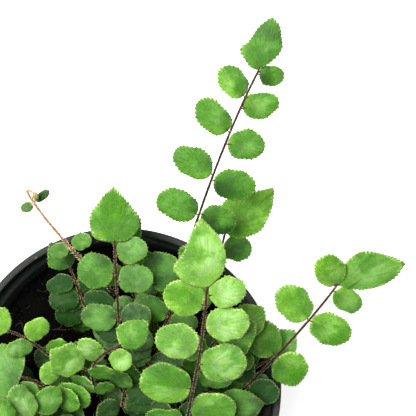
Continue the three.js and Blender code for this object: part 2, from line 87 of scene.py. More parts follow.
# The soil: the bends in a millimetre, along x and y, of the two waves that shape it. Then the litter on it: a
# pair is the range of a draw, but in GRIT it is a least value and what a draw from 0 to 1 adds to it.
SOIL_TOP = 77.0
SOIL_GAP = 0.35
SOIL_BUMP = 1.3
BROAD_WAVE = (0.21, 0.17)
BROAD_PHASE = 1.3
SMALL_WAVE = (0.47, 0.39)
SMALL_SHARE = 0.5
SOIL_RINGS = 76
SOIL_SIDES = 144
SOIL_FADE = 2.5
PEAT_RIPPLES = dict(count=16, longest=9.0, shortest=1.3, steepness=0.055)
LITTER_RADIUS = 50.5
CRUMBS = dict(count=620, smallest=0.45, largest=1.9)
SPECKS = dict(count=46, smallest=0.4, largest=1.1)
GRIT = dict(wide=(0.75, 0.5), high=(0.6, 0.3), dent=(0.72, 0.5), above=0.3)
FIBRES = dict(count=150, long=(2.5, 9), bend=(-1.2, 1.2), radius=(0.07, 0.16), lift=(0, 0.5), inward=0.93)
FIBRE_POINTS = 7

# The stalks: their radii at the soil and at the tip, how deep they are sunk, and the size and pace of two
# waves along them. The young one is slimmer, and ends in a hook, a spiral that turns by some degrees while
# its radius shrinks, with a bud at its end.
STALK_FOOT = 0.43
STALK_HEAD = 0.39
STALK_SUNK = 9.0
STALK_RINGS = 56
STALK_SIDES = 10
STALK_WAVES = ((0.05, 0.9), (0.03, 2.3))
YOUNG_SLIM = 0.72
HOOK_TURN = 280.0
HOOK_RINGS = 26
HOOK_CLOSE = 0.6
HOOK_FOOT = 0.352
HOOK_HEAD = 0.22
BUD_FROM = 0.42
BUD_SWELL = 0.8
BUD_BLEND = 0.2

# The stubs that carry the leaflets: how far inside the stalk one starts, the part of the blade's length that
# it reaches under, how far below the face it ends, and its bow.
STUB_RADIUS = 0.24
STUB_RINGS = 6
STUB_INSIDE_SIDE = 0.3
STUB_INSIDE_END = 0.6
STUB_UNDER = 0.05
STUB_BELOW = 0.22
STUB_BOW = 0.2

# The scales. Of the two powers that place them, crowd, over 1, brings them nearer the soil, and even, under
# 1, nearer the tip. A pair is a least value and what a draw from 0 to 1 adds to it. taper is the length at
# the soil and what the way up adds.
SCALES = dict(per_mm=3.8, even=1.0, crowd=1.25, long=1.0)
YOUNG_SCALES = dict(per_mm=5.0, even=0.5, crowd=1.0, long=1.9)
SCALES_BELOW = 3.0
SCALE = dict(fan=1.7, inset=0.8, slant=(0.9, 1.6), long=(0.6, 0.65), taper=(1.15, -0.45), radius=(0.09, 0.06))
TUFT = dict(count=12, spread=1.6, up=0.25, wide=0.5, long=(0.5, 0.7), radius=(0.08, 0.05))

# The leaflets: the blade's thickness, the stub's length, how far the dome falls at the sides and at the tip,
# how far a blade turns from its stalk's face towards the light, and the way that a stalk's face looks. A form
# is the powers of an outline's base and tip, on the left and then on the right.
BLADE = 0.42
STUB = 1.4
CURL = 0.12
SAG = 0.09
LIGHTWARD = 0.55
FACE = (0, -0.2, 1)
SIDE_FORM = (0.42, 0.46, 0.42, 0.46)
END_FORM = (0.7, 1.0, 0.7, 1.0)
SIDE_MIDDLE = 0.5
END_MIDDLE = 0.42
LOBE_PLACE = 0.29
LOBE_REACH = 0.17

# How a leaflet's edge strays and is toothed, and how far its blade reaches back over its stub. The teeth fade
# out over TOOTHLESS of its length, and TOOTH_VARY is the least share of their depth and what a draw adds.
OUTLINE_STEPS = 720
LOPSIDED = 0.09
UNEVEN = 0.045
TOOTH_PITCH = 1.3
TOOTH_DEPTH = 0.42
TOOTH_WIDTH = 9.0
TOOTH_VARY = (0.45, 0.9)
TOOTH_DRIFT = 0.3
TOOTHLESS = 0.12
FEWEST_TEETH = 6
SIDE_FOOT = 0.6
END_FOOT = 0.2

# A blade's relief: the rings of its mesh, its slow waves, the roll of its edge, its rib and its dimple.
RINGS_ABOVE = (0.3, 0.58, 0.8, 0.92, 1.0)
RINGS_BELOW = (0.97, 0.5)
RIPPLE = 0.028
PUCKER = 0.17
ROLL_FROM = 0.84
ROLL_DEPTH = 0.18
RIB_DEPTH = 0.16
RIB_WIDTH = 0.9
RIB_LONG = 0.8
DIMPLE = 0.1
UV_PER_MM = 0.05
VEIN_SOURCE = 0.08
VEIN_SCALE = 190 / 6

# How fresh a leaflet is, with painted light and shade in its green: it gains painted light with its height,
# up to the crown, and gains with its place along the stalk, and takes painted shade deep in the clump and
# under others.
LIGHT_FROM = 92.0
LIGHT_OVER = 62.0
LIGHT_GAIN = 0.22
PLACE_GAIN = 0.3
DEEP_FROM = 109.0
DEEP_OVER = 16.0
DEEP_SHADE = 0.3
COVER_ABOVE = 1.5
COVER_SHADE = 0.3

# How far leaflets keep from each other, and the lifts that one tries to come clear.
CLEAR_OTHER = 1.7
CLEAR_OWN = 0.9
CLEAR_SIDE = 0.6
CLEAR_WALL = 1.0
CLEAR_POT = 1.5
FAR_APART = 6.0
LIFTS = (0, 10, -10, 20, -20, 30, -30)
RIM_TESTS = 12
STALK_TESTS = 24

# The smaller leaflets that fill the lower stalks: a pair at each step down from top to low, as places along
# the stalk. A pair of numbers is the range of a draw.
FILL = dict(
    seed=311, top=0.5, low=0.14, step=0.05, stray=0.02, long=(8.5, 12.0), wide=(0.8, 0.96), turn=(-20, 40),
    lifts=(0, 16, -12, 30, -24, 8, 40, -34),
)

# The camera, straight above, and the light. The softbox, its aim and the floor are in metres.
CAMERA_PLACE = (31.3, 64.6, 615.0)
SENSOR = 36.0
LENS = 126.0
SOFTBOX_PLACE = np.array([-0.3, 0.24, 1.4])
SOFTBOX_AIM = np.array([0.03, 0.03, 0.1])
SOFTBOX_SIZE = 0.55
SOFTBOX_POWER = 34.0
ROOM_LIGHT = 0.13
FLOOR_GLOW = 0.8
FLOOR_REACH = 3.0

# The fronds that are placed one by one. root is where a frond leaves the soil, rise and reach are the pulls
# of its curve at the root and at the tip, and face is the way its upper side looks, FACE where none is given.
# A leaflet is its side (1 right, -1 left), its place along the stalk from 0 to 1, its length, its width and
# its turn towards the tip in degrees. end is the end leaflet: length, width and turn. form gives the powers
# of its outline, lean makes its left side wider than its right, and lobe widens the left side near the foot.
# crook is the radius of a young frond's hook, and fill_top the highest place for the leaflets that fill in.
# fresh_and_light makes a frond's green newer and lighter, or older and darker below 0: its own tone, with
# painted light and shade. lower takes its place for the leaflets on its sides, and to it left adds on the
# left and foot below the middle, both painted light, and painted shade where they are below 0.
# bloom_and_sheen is the most that a leaf can be pale, with bloom and painted sheen.
FRONDS = [
  dict(
    name="tall", root=[16, 14], rise=[1, 20, 44], tip=[47.6, 108.7, 150], reach=[12, 22, 3],
    face=[0, -0.3, 1], end=[17.2, 10.8, -14], form=[0.35, 0.8, 1.2, 0.95], lobe=0.3,
    fresh_and_light=-0.4, lower=-0.18, left=0.07, bloom_and_sheen=0.1, fill_top=0,
    leaflets=[
      [1, 0.98, 8.8, 6.6, 22], [-1, 0.885, 10.8, 8.4, 26], [1, 0.845, 11.2, 8.2, 34],
      [-1, 0.765, 13, 9.4, 25], [1, 0.73, 11.4, 9.7, 15], [-1, 0.635, 13.4, 9.6, 14],
      [1, 0.62, 13.4, 10.2, 6], [-1, 0.515, 13.6, 10.7, 9], [1, 0.52, 11.5, 10, -5],
    ],
  ),
  dict(
    name="behind", root=[24, 6], rise=[3, 10, 22], tip=[37.4, 56.4, 108], reach=[3, 12, 2],
    end=[22.4, 15.5, 33], form=[0.4, 1.2, 0.4, 0.7], fresh_and_light=0.42, lower=-0.26, bloom_and_sheen=0.3, fill_top=0.3,
    leaflets=[[1, 0.86, 9.2, 9, 12], [-1, 0.7, 9, 8, 10]],
  ),
  dict(
    name="right", root=[24, -18], rise=[6, 2, 20], tip=[75, 38.5, 122], reach=[12, 17, 2],
    face=[0.1, -0.1, 1], end=[24.4, 12.8, 38], form=[0.75, 1, 1, 0.85], lean=0.21,
    fresh_and_light=-0.06, lower=0.08, left=0.16, foot=-0.6, bloom_and_sheen=0.15, fill_top=0.32,
    leaflets=[
      [-1, 0.985, 13, 10.2, 33], [1, 0.965, 13, 8, -2], [-1, 0.8, 13.4, 11.4, 11], [1, 0.8, 14.2, 10.8, 14],
      [-1, 0.62, 13.4, 12.2, 16], [1, 0.62, 11.8, 12.6, -10], [1, 0.47, 10, 9.2, 15],
      [-1, 0.48, 9.6, 9, 20],
    ],
  ),
  dict(
    name="crown", root=[22, -22], rise=[0, 6, 40], tip=[31, 40, 160], reach=[1, 22, 8],
    face=[0, -0.5, 1], end=[22, 13.8, -7], form=[0.35, 0.8, 0.8, 1.05], lobe=0.35,
    fresh_and_light=0.04, lower=0.02, left=0.06, foot=0.1, bloom_and_sheen=0.75, fill_top=0.24,
    leaflets=[
      [-1, 0.91, 12.4, 11.6, 18], [1, 0.955, 11, 9.6, 16], [1, 0.82, 13.2, 11.2, 12],
      [-1, 0.72, 13.4, 12.2, 14], [1, 0.645, 14.4, 13.2, 8], [-1, 0.52, 16.4, 14.8, 4],
      [1, 0.4, 14.4, 12.8, 8], [-1, 0.28, 13, 12, 8],
    ],
  ),
  dict(
    name="upright", root=[2, -3], rise=[0, 6, 30], tip=[0.5, 53.6, 135], reach=[0, 20, 8],
    face=[0, -0.4, 1], end=[18.8, 16.4, 0], form=[0.38, 0.95, 0.38, 0.95],
    fresh_and_light=-0.04, lower=-0.28, left=0.04, bloom_and_sheen=0.75,
    leaflets=[
      [1, 0.92, 9.6, 9, 18], [-1, 0.83, 11.4, 12, 10], [1, 0.79, 10.8, 10, 6], [-1, 0.6, 11.4, 9.8, 8],
      [1, 0.6, 9.6, 9.4, 10],
    ],
  ),
  dict(
    name="crosier", root=[2, 28], rise=[-4, 6, 22], tip=[-26.9, 69.6, 145], reach=[-3, 9, 10],
    face=[0, -0.3, 1], crook=2.2, fill_top=0,
    leaflets=[
      [-1, 0.9, 4, 3.6, -20], [1, 0.9, 5.4, 3, 20], [-1, 0.57, 5.8, 5.8, 10], [1, 0.56, 6.4, 6.2, 10],
    ],
  ),
  dict(
    name="bowed", root=[-8, -9], rise=[1, 14, 38], tip=[3.1, 20.4, 145], reach=[15, 6.4, -1],
    face=[-0.1, -0.3, 1], end=[11.6, 9.6, -17], fresh_and_light=-0.17, lower=0.04, left=0.14, bloom_and_sheen=0.6, fill_top=0.2,
    leaflets=[
      [1, 0.95, 7.2, 7, 0], [-1, 0.7, 11.6, 8.8, 62], [1, 0.66, 9, 7.8, -50], [-1, 0.34, 9.8, 8.2, -40],
      [1, 0.32, 6.8, 6.4, -40],
    ],
  ),
  dict(
    name="westerly", root=[-18, 2], rise=[-2, 8, 34], tip=[-34.2, 24.3, 138], reach=[-8, 2, 2],
    end=[12, 9.6, 28], fresh_and_light=0.25, lower=0.28, left=-0.4, bloom_and_sheen=0.6, fill_top=0.26,
    leaflets=[[1, 0.8, 8, 7.6, -22], [-1, 0.65, 8.4, 6.8, 28], [1, 0.5, 6.5, 6, 10]],
  ),
  dict(
    name="nook", root=[-2, 3], rise=[-1, 1, 24], tip=[-11.7, 10, 118], reach=[-6, 3, 2],
    end=[14.5, 13, 10], fresh_and_light=0.14,
    leaflets=[[-1, 0.75, 8, 7, 10]],
  ),
  dict(
    name="low_west", root=[-22, -14], rise=[1, 12, 28], tip=[-31.6, 7.9, 126], reach=[-9.6, 2.4, 2],
    end=[19, 18, 0], form=[0.36, 0.9, 0.36, 0.9], fresh_and_light=-0.28, lower=0.32, bloom_and_sheen=0.45,
    leaflets=[[-1, 0.45, 10.4, 7.2, 15], [-1, 0.8, 9, 8, -5], [1, 0.7, 8, 7, 5], [1, 0.45, 12, 11.5, 10]],
  ),
  dict(
    name="flank", root=[22, -8], rise=[2, 6, 30], tip=[34, 21, 133], reach=[6, 8, 5],
    end=[15, 17, 28], fresh_and_light=0.1, bloom_and_sheen=0.4, fill_top=0.4,
    leaflets=[[1, 0.8, 13, 12, -10], [-1, 0.8, 11, 10, 10], [1, 0.6, 11, 10, 0]],
  ),
  dict(
    name="flank_low", root=[28, -2], rise=[3, 5, 22], tip=[42, 23, 120], reach=[5, 8, 4],
    end=[12, 12, 10], fresh_and_light=0.6, lower=0.3, bloom_and_sheen=0.4,
    leaflets=[[1, 0.7, 9, 8, 5]],
  ),
  dict(
    name="shaded", root=[31, -9], rise=[5, 4, 16], tip=[53, 11.5, 102], reach=[9, 5, 2],
    face=[0, -0.1, 1], end=[13.5, 12, -20], fresh_and_light=0.06,
    leaflets=[[-1, 0.8, 9, 8, 10], [1, 0.7, 9, 8, 0]],
  ),
  dict(
    name="lip", root=[27, -27], rise=[1, 7, 20], tip=[34, -6, 110], reach=[5, 6, 3],
    end=[17, 14, 40], lobe=-0.15, fresh_and_light=-0.28, bloom_and_sheen=0.3,
    leaflets=[[1, 0.7, 11, 10, 5], [-1, 0.75, 10, 9, 10]],
  ),
  dict(
    name="mid", root=[9, 3], rise=[2, 8, 24], tip=[25, 43, 120], reach=[6, 12, 3],
    end=[15, 13, 0], fresh_and_light=-0.12, lower=-0.22, bloom_and_sheen=0.3,
    leaflets=[[-1, 0.87, 14.4, 12.6, 15], [-1, 0.62, 10, 9, 8], [1, 0.8, 10, 9, 10], [1, 0.6, 9, 8, 10]],
  ),
  dict(
    name="rear", root=[8, 19], rise=[0, 8, 20], tip=[2.3, 51, 118], reach=[0, 10, 3],
    end=[16, 13.4, 2],
    leaflets=[[1, 0.8, 9, 8, 10], [-1, 0.7, 9, 8, 10]],
  ),
  dict(
    name="rear_west", root=[-9, 16], rise=[-2, 8, 16], tip=[-17, 44, 106], reach=[-3, 9, 3],
    end=[11, 9.6, -20], fresh_and_light=-0.48, lower=-0.65, bloom_and_sheen=0.05,
    leaflets=[
      [1, 0.8, 8, 7.4, -20], [-1, 0.84, 9, 7, -5], [1, 0.6, 11, 8, -5], [-1, 0.62, 10, 8.6, 5],
      [-1, 0.42, 10, 9, 5],
    ],
  ),
  dict(
    name="heart", root=[7, -10], rise=[0, 7, 20], tip=[12, 24, 105], reach=[1, 10, 2],
    end=[12, 11, -28], fresh_and_light=0.08,
    leaflets=[[1, 0.85, 10, 9, 10], [-1, 0.78, 11, 10, 5], [1, 0.6, 11, 10, 5], [-1, 0.52, 10, 9, 5]],
  ),
  dict(
    name="thicket", root=[-11, -3], rise=[-1, 2, 18], tip=[-14, 7, 104], reach=[-1, 6, 3],
    end=[12, 11.5, 6], fresh_and_light=0.1,
    leaflets=[[1, 0.85, 9.5, 9, 5], [-1, 0.8, 10, 9, 0], [1, 0.6, 10, 9, 5], [-1, 0.55, 10, 9, 5]],
  ),
  dict(
    name="core", root=[-1, -9], rise=[1, 1, 16], tip=[2, 2, 100], reach=[1, 7, 2],
    end=[11, 10, 8], fresh_and_light=0.1, lower=-0.3, bloom_and_sheen=0.3,
    leaflets=[[1, 0.85, 10.5, 9, 5], [-1, 0.8, 9, 8, 5], [1, 0.58, 10, 9, 5], [-1, 0.52, 9, 8, 5]],
  ),
]

# The rest of the clump: fronds that lean outward round its near side, in two rings by turns. Angles are in
# degrees, each vary value is how far a draw strays to either side, and a pair is the range of a draw.
SPREAD = dict(
    count=10, first=183, sweep=126, angle_vary=4, lean_vary=0.15, height_vary=9, sway=6,
    top_place=0.92, spacing=0.085, place_vary=0.012, top_length=0.72, length_step=0.05, length_vary=0.1,
    wide=(0.76, 0.92), turn=(4, 24), end_long=(1.1, 1.4), end_wide=(0.85, 1), end_turn=(-12, 12),
    rise=3, reach=0.4, reach_up=7, face=0.15, fresh_and_light=0.08,
)
OUTER_RING = dict(root=30, lean=44, height=118, pull=22, leaflets=6, long=12)
INNER_RING = dict(root=15, lean=27, height=138, pull=34, leaflets=7, long=12.5)

# The seeds of the draws: the spread fronds, the surfaces of each frond, the soil's ripples and its litter.
SPREAD_SEED = 20
FROND_SEED = 1000
FROND_SEED_STEP = 37
RIPPLE_SEED = 5
LITTER_SEED = 71


# ---------------------------------------------------------------- growth

class SeededDraw:
    """A draw by linear congruence: state times 1664525 plus 1013904223, modulo two to the 32."""

    def __init__(self, seed):
        self.state = seed

    def __call__(self, low, high):
        self.state = (self.state * 1664525 + 1013904223) % 4294967296
        return low + (high - low) * self.state / 4294967296


def many(draw, rows, columns):
    """A table of draws from 0 to 1."""
    return np.array([draw(0, 1) for _ in range(rows * columns)]).reshape(rows, columns)


def within(pair, share):
    """The first of the pair, plus a share of the second."""
    return pair[0] + pair[1] * share


def unit(vector):
    return vector / np.linalg.norm(vector)


def units(rows):
    """Each row at length one."""
    return rows / np.linalg.norm(rows, axis=1, keepdims=True)


def travelled(points):
    """How far along a line each of its points lies."""
    return np.append(0, np.cumsum(np.linalg.norm(np.diff(points, axis=0), axis=1)))


def arc(a, pull, b, s):
    """The curve (1-s)^2 a + 2s (1-s) pull + s^2 b."""
    return (1 - s) ** 2 * a + 2 * s * (1 - s) * pull + s**2 * b


def turned(x, y, angle):
    """The point turned anticlockwise about the origin."""
    return x * math.cos(angle) - y * math.sin(angle), x * math.sin(angle) + y * math.cos(angle)


def spread_leaflets(ring, draw):
    """The leaflets of one spread frond, from its tip down, on either side in turn."""
    place_vary, length_vary = SPREAD["place_vary"], SPREAD["length_vary"]
    leaflets = []
    for i in range(ring["leaflets"]):
        place = SPREAD["top_place"] - SPREAD["spacing"] * i + draw(-place_vary, place_vary)
        growth = SPREAD["top_length"] + SPREAD["length_step"] * i
        long = ring["long"] * growth * draw(1 - length_vary, 1 + length_vary)
        side, wide = -1 if i % 2 else 1, long * draw(*SPREAD["wide"])
        leaflets.append([side, place, long, wide, draw(*SPREAD["turn"])])
    return leaflets


def spread_frond(index, draw):
    """A frond that leans straight out from the clump's middle, with a little sway to one side."""
    ring = INNER_RING if index % 2 else OUTER_RING
    middle = SPREAD["first"] + SPREAD["sweep"] * index / (SPREAD["count"] - 1)
    angle = math.radians(middle + draw(-SPREAD["angle_vary"], SPREAD["angle_vary"]))
    out, aside = np.array([math.cos(angle), math.sin(angle)]), np.array([-math.sin(angle), math.cos(angle)])
    lean = ring["lean"] * draw(1 - SPREAD["lean_vary"], 1 + SPREAD["lean_vary"])
    sway = draw(-SPREAD["sway"], SPREAD["sway"])
    height = ring["height"] + draw(-SPREAD["height_vary"], SPREAD["height_vary"])
    leaflets = spread_leaflets(ring, draw)
    end_size = [ring["long"] * draw(*SPREAD[key]) for key in ("end_long", "end_wide")]
    return dict(
        name=f"spread_{index + 1}",
        root=out * ring["root"],
        rise=[*out * SPREAD["rise"], ring["pull"]],
        tip=[*out * (ring["root"] + lean) + aside * sway, height],
        reach=[*out * lean * SPREAD["reach"], SPREAD["reach_up"]],
        face=[*-out * SPREAD["face"], 1],
        leaflets=leaflets,
        end=[*end_size, draw(*SPREAD["end_turn"])],
        fresh_and_light=SPREAD["fresh_and_light"],
    )


def stalk_axes(frond, t):
    """Points, tangents, upward normals and right-hand sides of the frond's cubic curve at the values t.

    The curve is (1-t)^3 a + 3 (1-t)^2 t b + 3 (1-t) t^2 c + t^3 d, and the normal is the frond's face less
    its part along the tangent."""
    a = np.array([*frond["root"], SOIL_TOP], float)
    b = a + frond["rise"]
    d = np.array(frond["tip"], float)
    c = d - frond["reach"]
    t = np.atleast_1d(np.asarray(t, float))[:, None]
    k = 1 - t
    point = k**3 * a + 3 * k * k * t * b + 3 * k * t * t * c + t**3 * d
    tangent = units(k * k * (b - a) + 2 * k * t * (c - b) + t * t * (d - c))
    face = np.array(frond.get("face", FACE), float)
    normal = units(face - (tangent @ face)[:, None] * tangent)
    return point, tangent, normal, np.cross(tangent, normal)


class Blade:
    """Where a leaflet sits: u runs out along it, v across it to its left and w up from its face."""

    def __init__(self, frond, leaflet, lift):
        side, t, length, width, forward = leaflet
        point, tangent, normal, right = (axis[0] for axis in stalk_axes(frond, t))
        turn, tilt = math.radians(forward), math.radians(lift)
        if side:
            u = side * math.cos(turn) * right + math.sin(turn) * tangent
        else:
            u = math.cos(turn) * tangent + math.sin(turn) * right
        u = unit(math.cos(tilt) * u + math.sin(tilt) * normal)
        w = (1 - LIGHTWARD) * normal + LIGHTWARD * UP
        w = unit(w - w.dot(u) * u)
        self.frond, self.side, self.t = frond, side, t
        self.length, self.width = length, width
        self.start = STUB if side else 0.0
        self.point, self.u, self.v, self.w = point, u, np.cross(w, u), w

    def drop(self, along, across):
        """The dome: it falls with the square of the way across and, less, of the way along."""
        return CURL * across**2 / (self.width / 2) + SAG * (along - self.start) ** 2 / self.length

    def surface(self, along, across, above=0.0):
        height = above - self.drop(along, across)
        return self.point + along[:, None] * self.u + across[:, None] * self.v + height[:, None] * self.w

    def spot(self, along, above=0.0):
        """One point of its midline."""
        return self.surface(np.array([along]), np.zeros(1), np.array([above]))[0]

    def rim(self):
        """The middle and then a closed ellipse round the blade."""
        angle = math.tau * np.arange(RIM_TESTS + 1) / RIM_TESTS
        half = self.length / 2
        along = np.append(self.start + half, self.start + half * (1 - np.cos(angle)))
        across = np.append(0.0, self.width / 2 * np.sin(angle))
        return self.surface(along, across)

    def over(self, points):
        """For each point, whether it lies over or under the blade, and its height above the face."""
        away = points - self.point
        along, across = away @ self.u, away @ self.v
        x = (along - self.start - self.length / 2) / (self.length / 2 + CLEAR_SIDE)
        y = across / (self.width / 2 + CLEAR_SIDE)
        return x * x + y * y < 1, away @ self.w + self.drop(along, across)

    def meets(self, points, clear):
        """True where a run of points comes nearer the face than clear, or passes through it."""
        inside, above = self.over(points)
        near = inside & (np.abs(above) < clear)
        through = (above[1:] * above[:-1] < 0) & (inside[1:] | inside[:-1])
        return bool(near.any() or through.any())


def soil_height(x, y):
    """Two crossed waves of unlike length, which together never rise above SOIL_TOP."""
    broad = np.sin(BROAD_WAVE[0] * x + BROAD_PHASE) * np.cos(BROAD_WAVE[1] * y)
    small = SMALL_SHARE * np.sin(SMALL_WAVE[0] * x - SMALL_WAVE[1] * y)
    return SOIL_TOP + SOIL_BUMP * (broad + small - (1 + SMALL_SHARE))


def meets_pot(rim):
    """True where a blade comes too near the pot's rim or the soil."""
    radius = np.hypot(rim[:, 0], rim[:, 1])
    inner, outer = SHOULDER_RADIUS - WALL - CLEAR_WALL, RIM_RADIUS + CLEAR_POT
    at_rim = (radius > inner) & (radius < outer) & (rim[:, 2] < POT_HEIGHT + CLEAR_POT)
    in_soil = (radius <= inner) & (rim[:, 2] < soil_height(rim[:, 0], rim[:, 1]) + CLEAR_POT)
    return bool(at_rim.any() or in_soil.any())


def blade_is_clear(blade, placed, stalks):
    rim = blade.rim()
    if meets_pot(rim):
        return False
    if any(frond is not blade.frond and blade.meets(run, CLEAR_OTHER) for frond, run in stalks):
        return False
    for other in placed:
        if np.linalg.norm(blade.point - other.point) > blade.length + other.length + FAR_APART:
            continue
        clear = CLEAR_OWN if other.frond is blade.frond else CLEAR_OTHER
        if other.meets(rim, clear) or blade.meets(other.rim(), clear):
            return False
    return True


def fill_leaflet(side, place, draw):
    """A small leaflet near a place of a stalk, and the lifts that it tries, from a drawn one on."""
    long = draw(*FILL["long"])
    stray = draw(-FILL["stray"], FILL["stray"])
    leaflet = [side, place + stray, long, long * draw(*FILL["wide"]), draw(*FILL["turn"])]
    first = int(draw(0, len(FILL["lifts"])))
    return leaflet, FILL["lifts"][first:] + FILL["lifts"][:first]


def place_blades(fronds):
    """Every blade of every frond, each at the first lift that is clear. One that never is, is left out.

    Then smaller leaflets fill the lower stalks wherever there is room between the blades."""
    steps = np.arange(STALK_TESTS + 1) / STALK_TESTS
    stalks = [(frond, stalk_axes(frond, steps)[0]) for frond in fronds]
    placed = []

    def place_one(frond, leaflet, lifts):
        tries = (Blade(frond, leaflet, lift) for lift in lifts)
        clear = next((blade for blade in tries if blade_is_clear(blade, placed, stalks)), None)
        if clear is not None:
            placed.append(clear)

    for frond in fronds:
        end = [[0, 1, *frond["end"]]] if "end" in frond else []
        for leaflet in end + frond["leaflets"]:
            place_one(frond, leaflet, LIFTS)
    draw = SeededDraw(FILL["seed"])
    for place in np.arange(FILL["top"], FILL["low"], -FILL["step"]):
        for frond in fronds:
            if place > frond.get("fill_top", FILL["top"]):
                continue
            for side in (1, -1):
                place_one(frond, *fill_leaflet(side, place, draw))
    return placed


# ---------------------------------------------------------------- meshes

VALUE_WIDTHS = {"uv": 2, "skin": 4, "tone": 4}


def add_object(name, data):
    added = bpy.data.objects.new(name, data)
    bpy.context.scene.collection.objects.link(added)
    return added


class Build:
    """Gathers surfaces into one mesh: vertices in millimetres, faces, a UV and two colours per vertex."""

    def __init__(self):
        self.verts, self.quads, self.tris, self.count = [], [], [], 0
        self.values = {key: [] for key in VALUE_WIDTHS}

    def add(self, verts, quads=(), tris=(), **values):
        self.verts.append(verts)
        for faces, new in ((self.quads, quads), (self.tris, tris)):
            if len(new):
                faces.append(np.asarray(new) + self.count)
        for key, width in VALUE_WIDTHS.items():
            self.values[key].append(values.get(key, np.zeros((len(verts), width))))
        self.count += len(verts)

    def weld(self):
        """Joins points within 0.0001 mm, and makes a triangle of a quad that loses a corner."""
        verts = np.concatenate(self.verts)
        _, first, new = np.unique(np.round(verts, 4), axis=0, return_index=True, return_inverse=True)
        quads = new.reshape(-1)[np.concatenate(self.quads)]
        start, end = quads[:, 0] == quads[:, 1], quads[:, 2] == quads[:, 3]
        self.verts, self.count = [verts[first]], len(first)
        self.tris = [quads[start][:, [0, 2, 3]], quads[end & ~start][:, [0, 1, 2]]]
        self.quads = [quads[~start & ~end]]
        self.values = {key: [np.concatenate(rows)[first]] for key, rows in self.values.items()}

    def piece(self, name, material, slot, replaces=None):
        """Makes the object: smooth faces, the UV on each corner and the colours on each vertex.

        A tooth that would stand out of the model's own box is held at its side."""
        verts = np.clip(np.concatenate(self.verts) * MM, *np.array(CAD_BOX))
        quads = np.concatenate(self.quads) if self.quads else np.zeros((0, 4), int)
        tris = np.concatenate(self.tris) if self.tris else np.zeros((0, 3), int)
        corners = np.concatenate([quads.ravel(), tris.ravel()]).astype(np.int32)
        sizes = np.concatenate([np.full(len(quads), 4), np.full(len(tris), 3)]).astype(np.int32)
        starts = np.append(0, np.cumsum(sizes)[:-1]).astype(np.int32)
        values = {key: np.concatenate(rows).astype(np.float32) for key, rows in self.values.items()}
        mesh = bpy.data.meshes.new(name)
        mesh.vertices.add(len(verts))
        mesh.vertices.foreach_set("co", verts.ravel())
        mesh.loops.add(len(corners))
        mesh.loops.foreach_set("vertex_index", corners)
        mesh.polygons.add(len(sizes))
        mesh.polygons.foreach_set("loop_start", starts)
        mesh.polygons.foreach_set("loop_total", sizes)
        mesh.update(calc_edges=True)
        mesh.validate()
        mesh.shade_smooth()
        mesh.uv_layers.new(name="UVMap").data.foreach_set("uv", values["uv"][corners].ravel())
        for title in ("skin", "tone"):
            colours = mesh.color_attributes.new(title, "FLOAT_COLOR", "POINT")
            colours.data.foreach_set("color", values[title].ravel())
        mesh.materials.append(material)
        piece = add_object(name, mesh)
        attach(piece, "root")
        if replaces:
            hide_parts(replaces)


def ring_quads(count, sides):
    """The quads between each ring and the next."""
    row = np.arange(count - 1)[:, None] * sides
    step = np.arange(sides)[None, :]
    after = (step + 1) % sides
    corners = [row + step, row + after, row + sides + after, row + sides + step]
    return np.stack(corners, axis=-1).reshape(-1, 4)


def closed_rings(build, rings, ends, **values):
    """A closed surface: each ring joins the next, and each end is closed by its own point.

    The rings turn anticlockwise as seen from where they are going, so that the faces look outward. Each of
    values is one row for a ring, or one row for a vertex with the two ends last."""
    count, sides = rings.shape[:2]
    step, last = np.arange(sides), count * sides
    after = (step + 1) % sides
    foot = np.stack([np.full(sides, last), after, step], axis=1)
    head = np.stack([np.full(sides, last + 1), last - sides + step, last - sides + after], axis=1)
    for key, rows in values.items():
        if len(rows) == count:
            values[key] = np.concatenate([np.repeat(rows, sides, axis=0), rows[:1], rows[-1:]])
    verts = np.concatenate([rings.reshape(-1, 3), ends])
    build.add(verts, ring_quads(count, sides), np.concatenate([foot, head]), **values)


def spokes(side, front, count):
    """Even directions round each point: the cosine of the angle along side, and its sine along front."""
    angle = math.tau * np.arange(count) / count
    return np.cos(angle)[None, :, None] * side[:, None, :] + np.sin(angle)[None, :, None] * front[:, None, :]


def tube(build, points, side, front, radius, sides, **values):
    """A closed round tube. side crossed with front points the way it runs."""
    rings = points[:, None, :] + np.reshape(radius, (-1, 1, 1)) * spokes(side, front, sides)
    run = travelled(points)
    along = np.append(np.repeat(run, sides), [run[0], run[-1]])
    around = np.append(np.tile(np.arange(sides) / sides, len(points)), [0, 0])
    closed_rings(build, rings, points[[0, -1]], uv=np.stack([around, along * MM], axis=1), **values)


def cones(build, roots, ways, length, radius, tone):
    """Thin three-sided spikes, closed at the root: a triangle round each root and a point along its way."""
    helper = np.where(np.abs(ways[:, 2:3]) < 0.9, UP, np.array([1.0, 0.0, 0.0]))
    side = units(np.cross(ways, helper))
    ring = roots[:, None, :] + radius[:, None, None] * spokes(side, np.cross(ways, side), 3)
    tips = roots + ways * length[:, None]
    verts = np.concatenate([ring, tips[:, None, :]], axis=1).reshape(-1, 3)
    first = 4 * np.arange(len(roots))[:, None, None]
    shape = np.array([[0, 1, 3], [1, 2, 3], [2, 0, 3], [2, 1, 0]])[None]
    build.add(verts, tris=(first + shape).reshape(-1, 3), tone=np.repeat(tone, 4, axis=0))


def rows_of(*columns):
    """Rows from columns that are each a list of values, or one value for all."""
    return np.stack(np.broadcast_arrays(*columns), axis=1)


# ---------------------------------------------------------------- leaflets

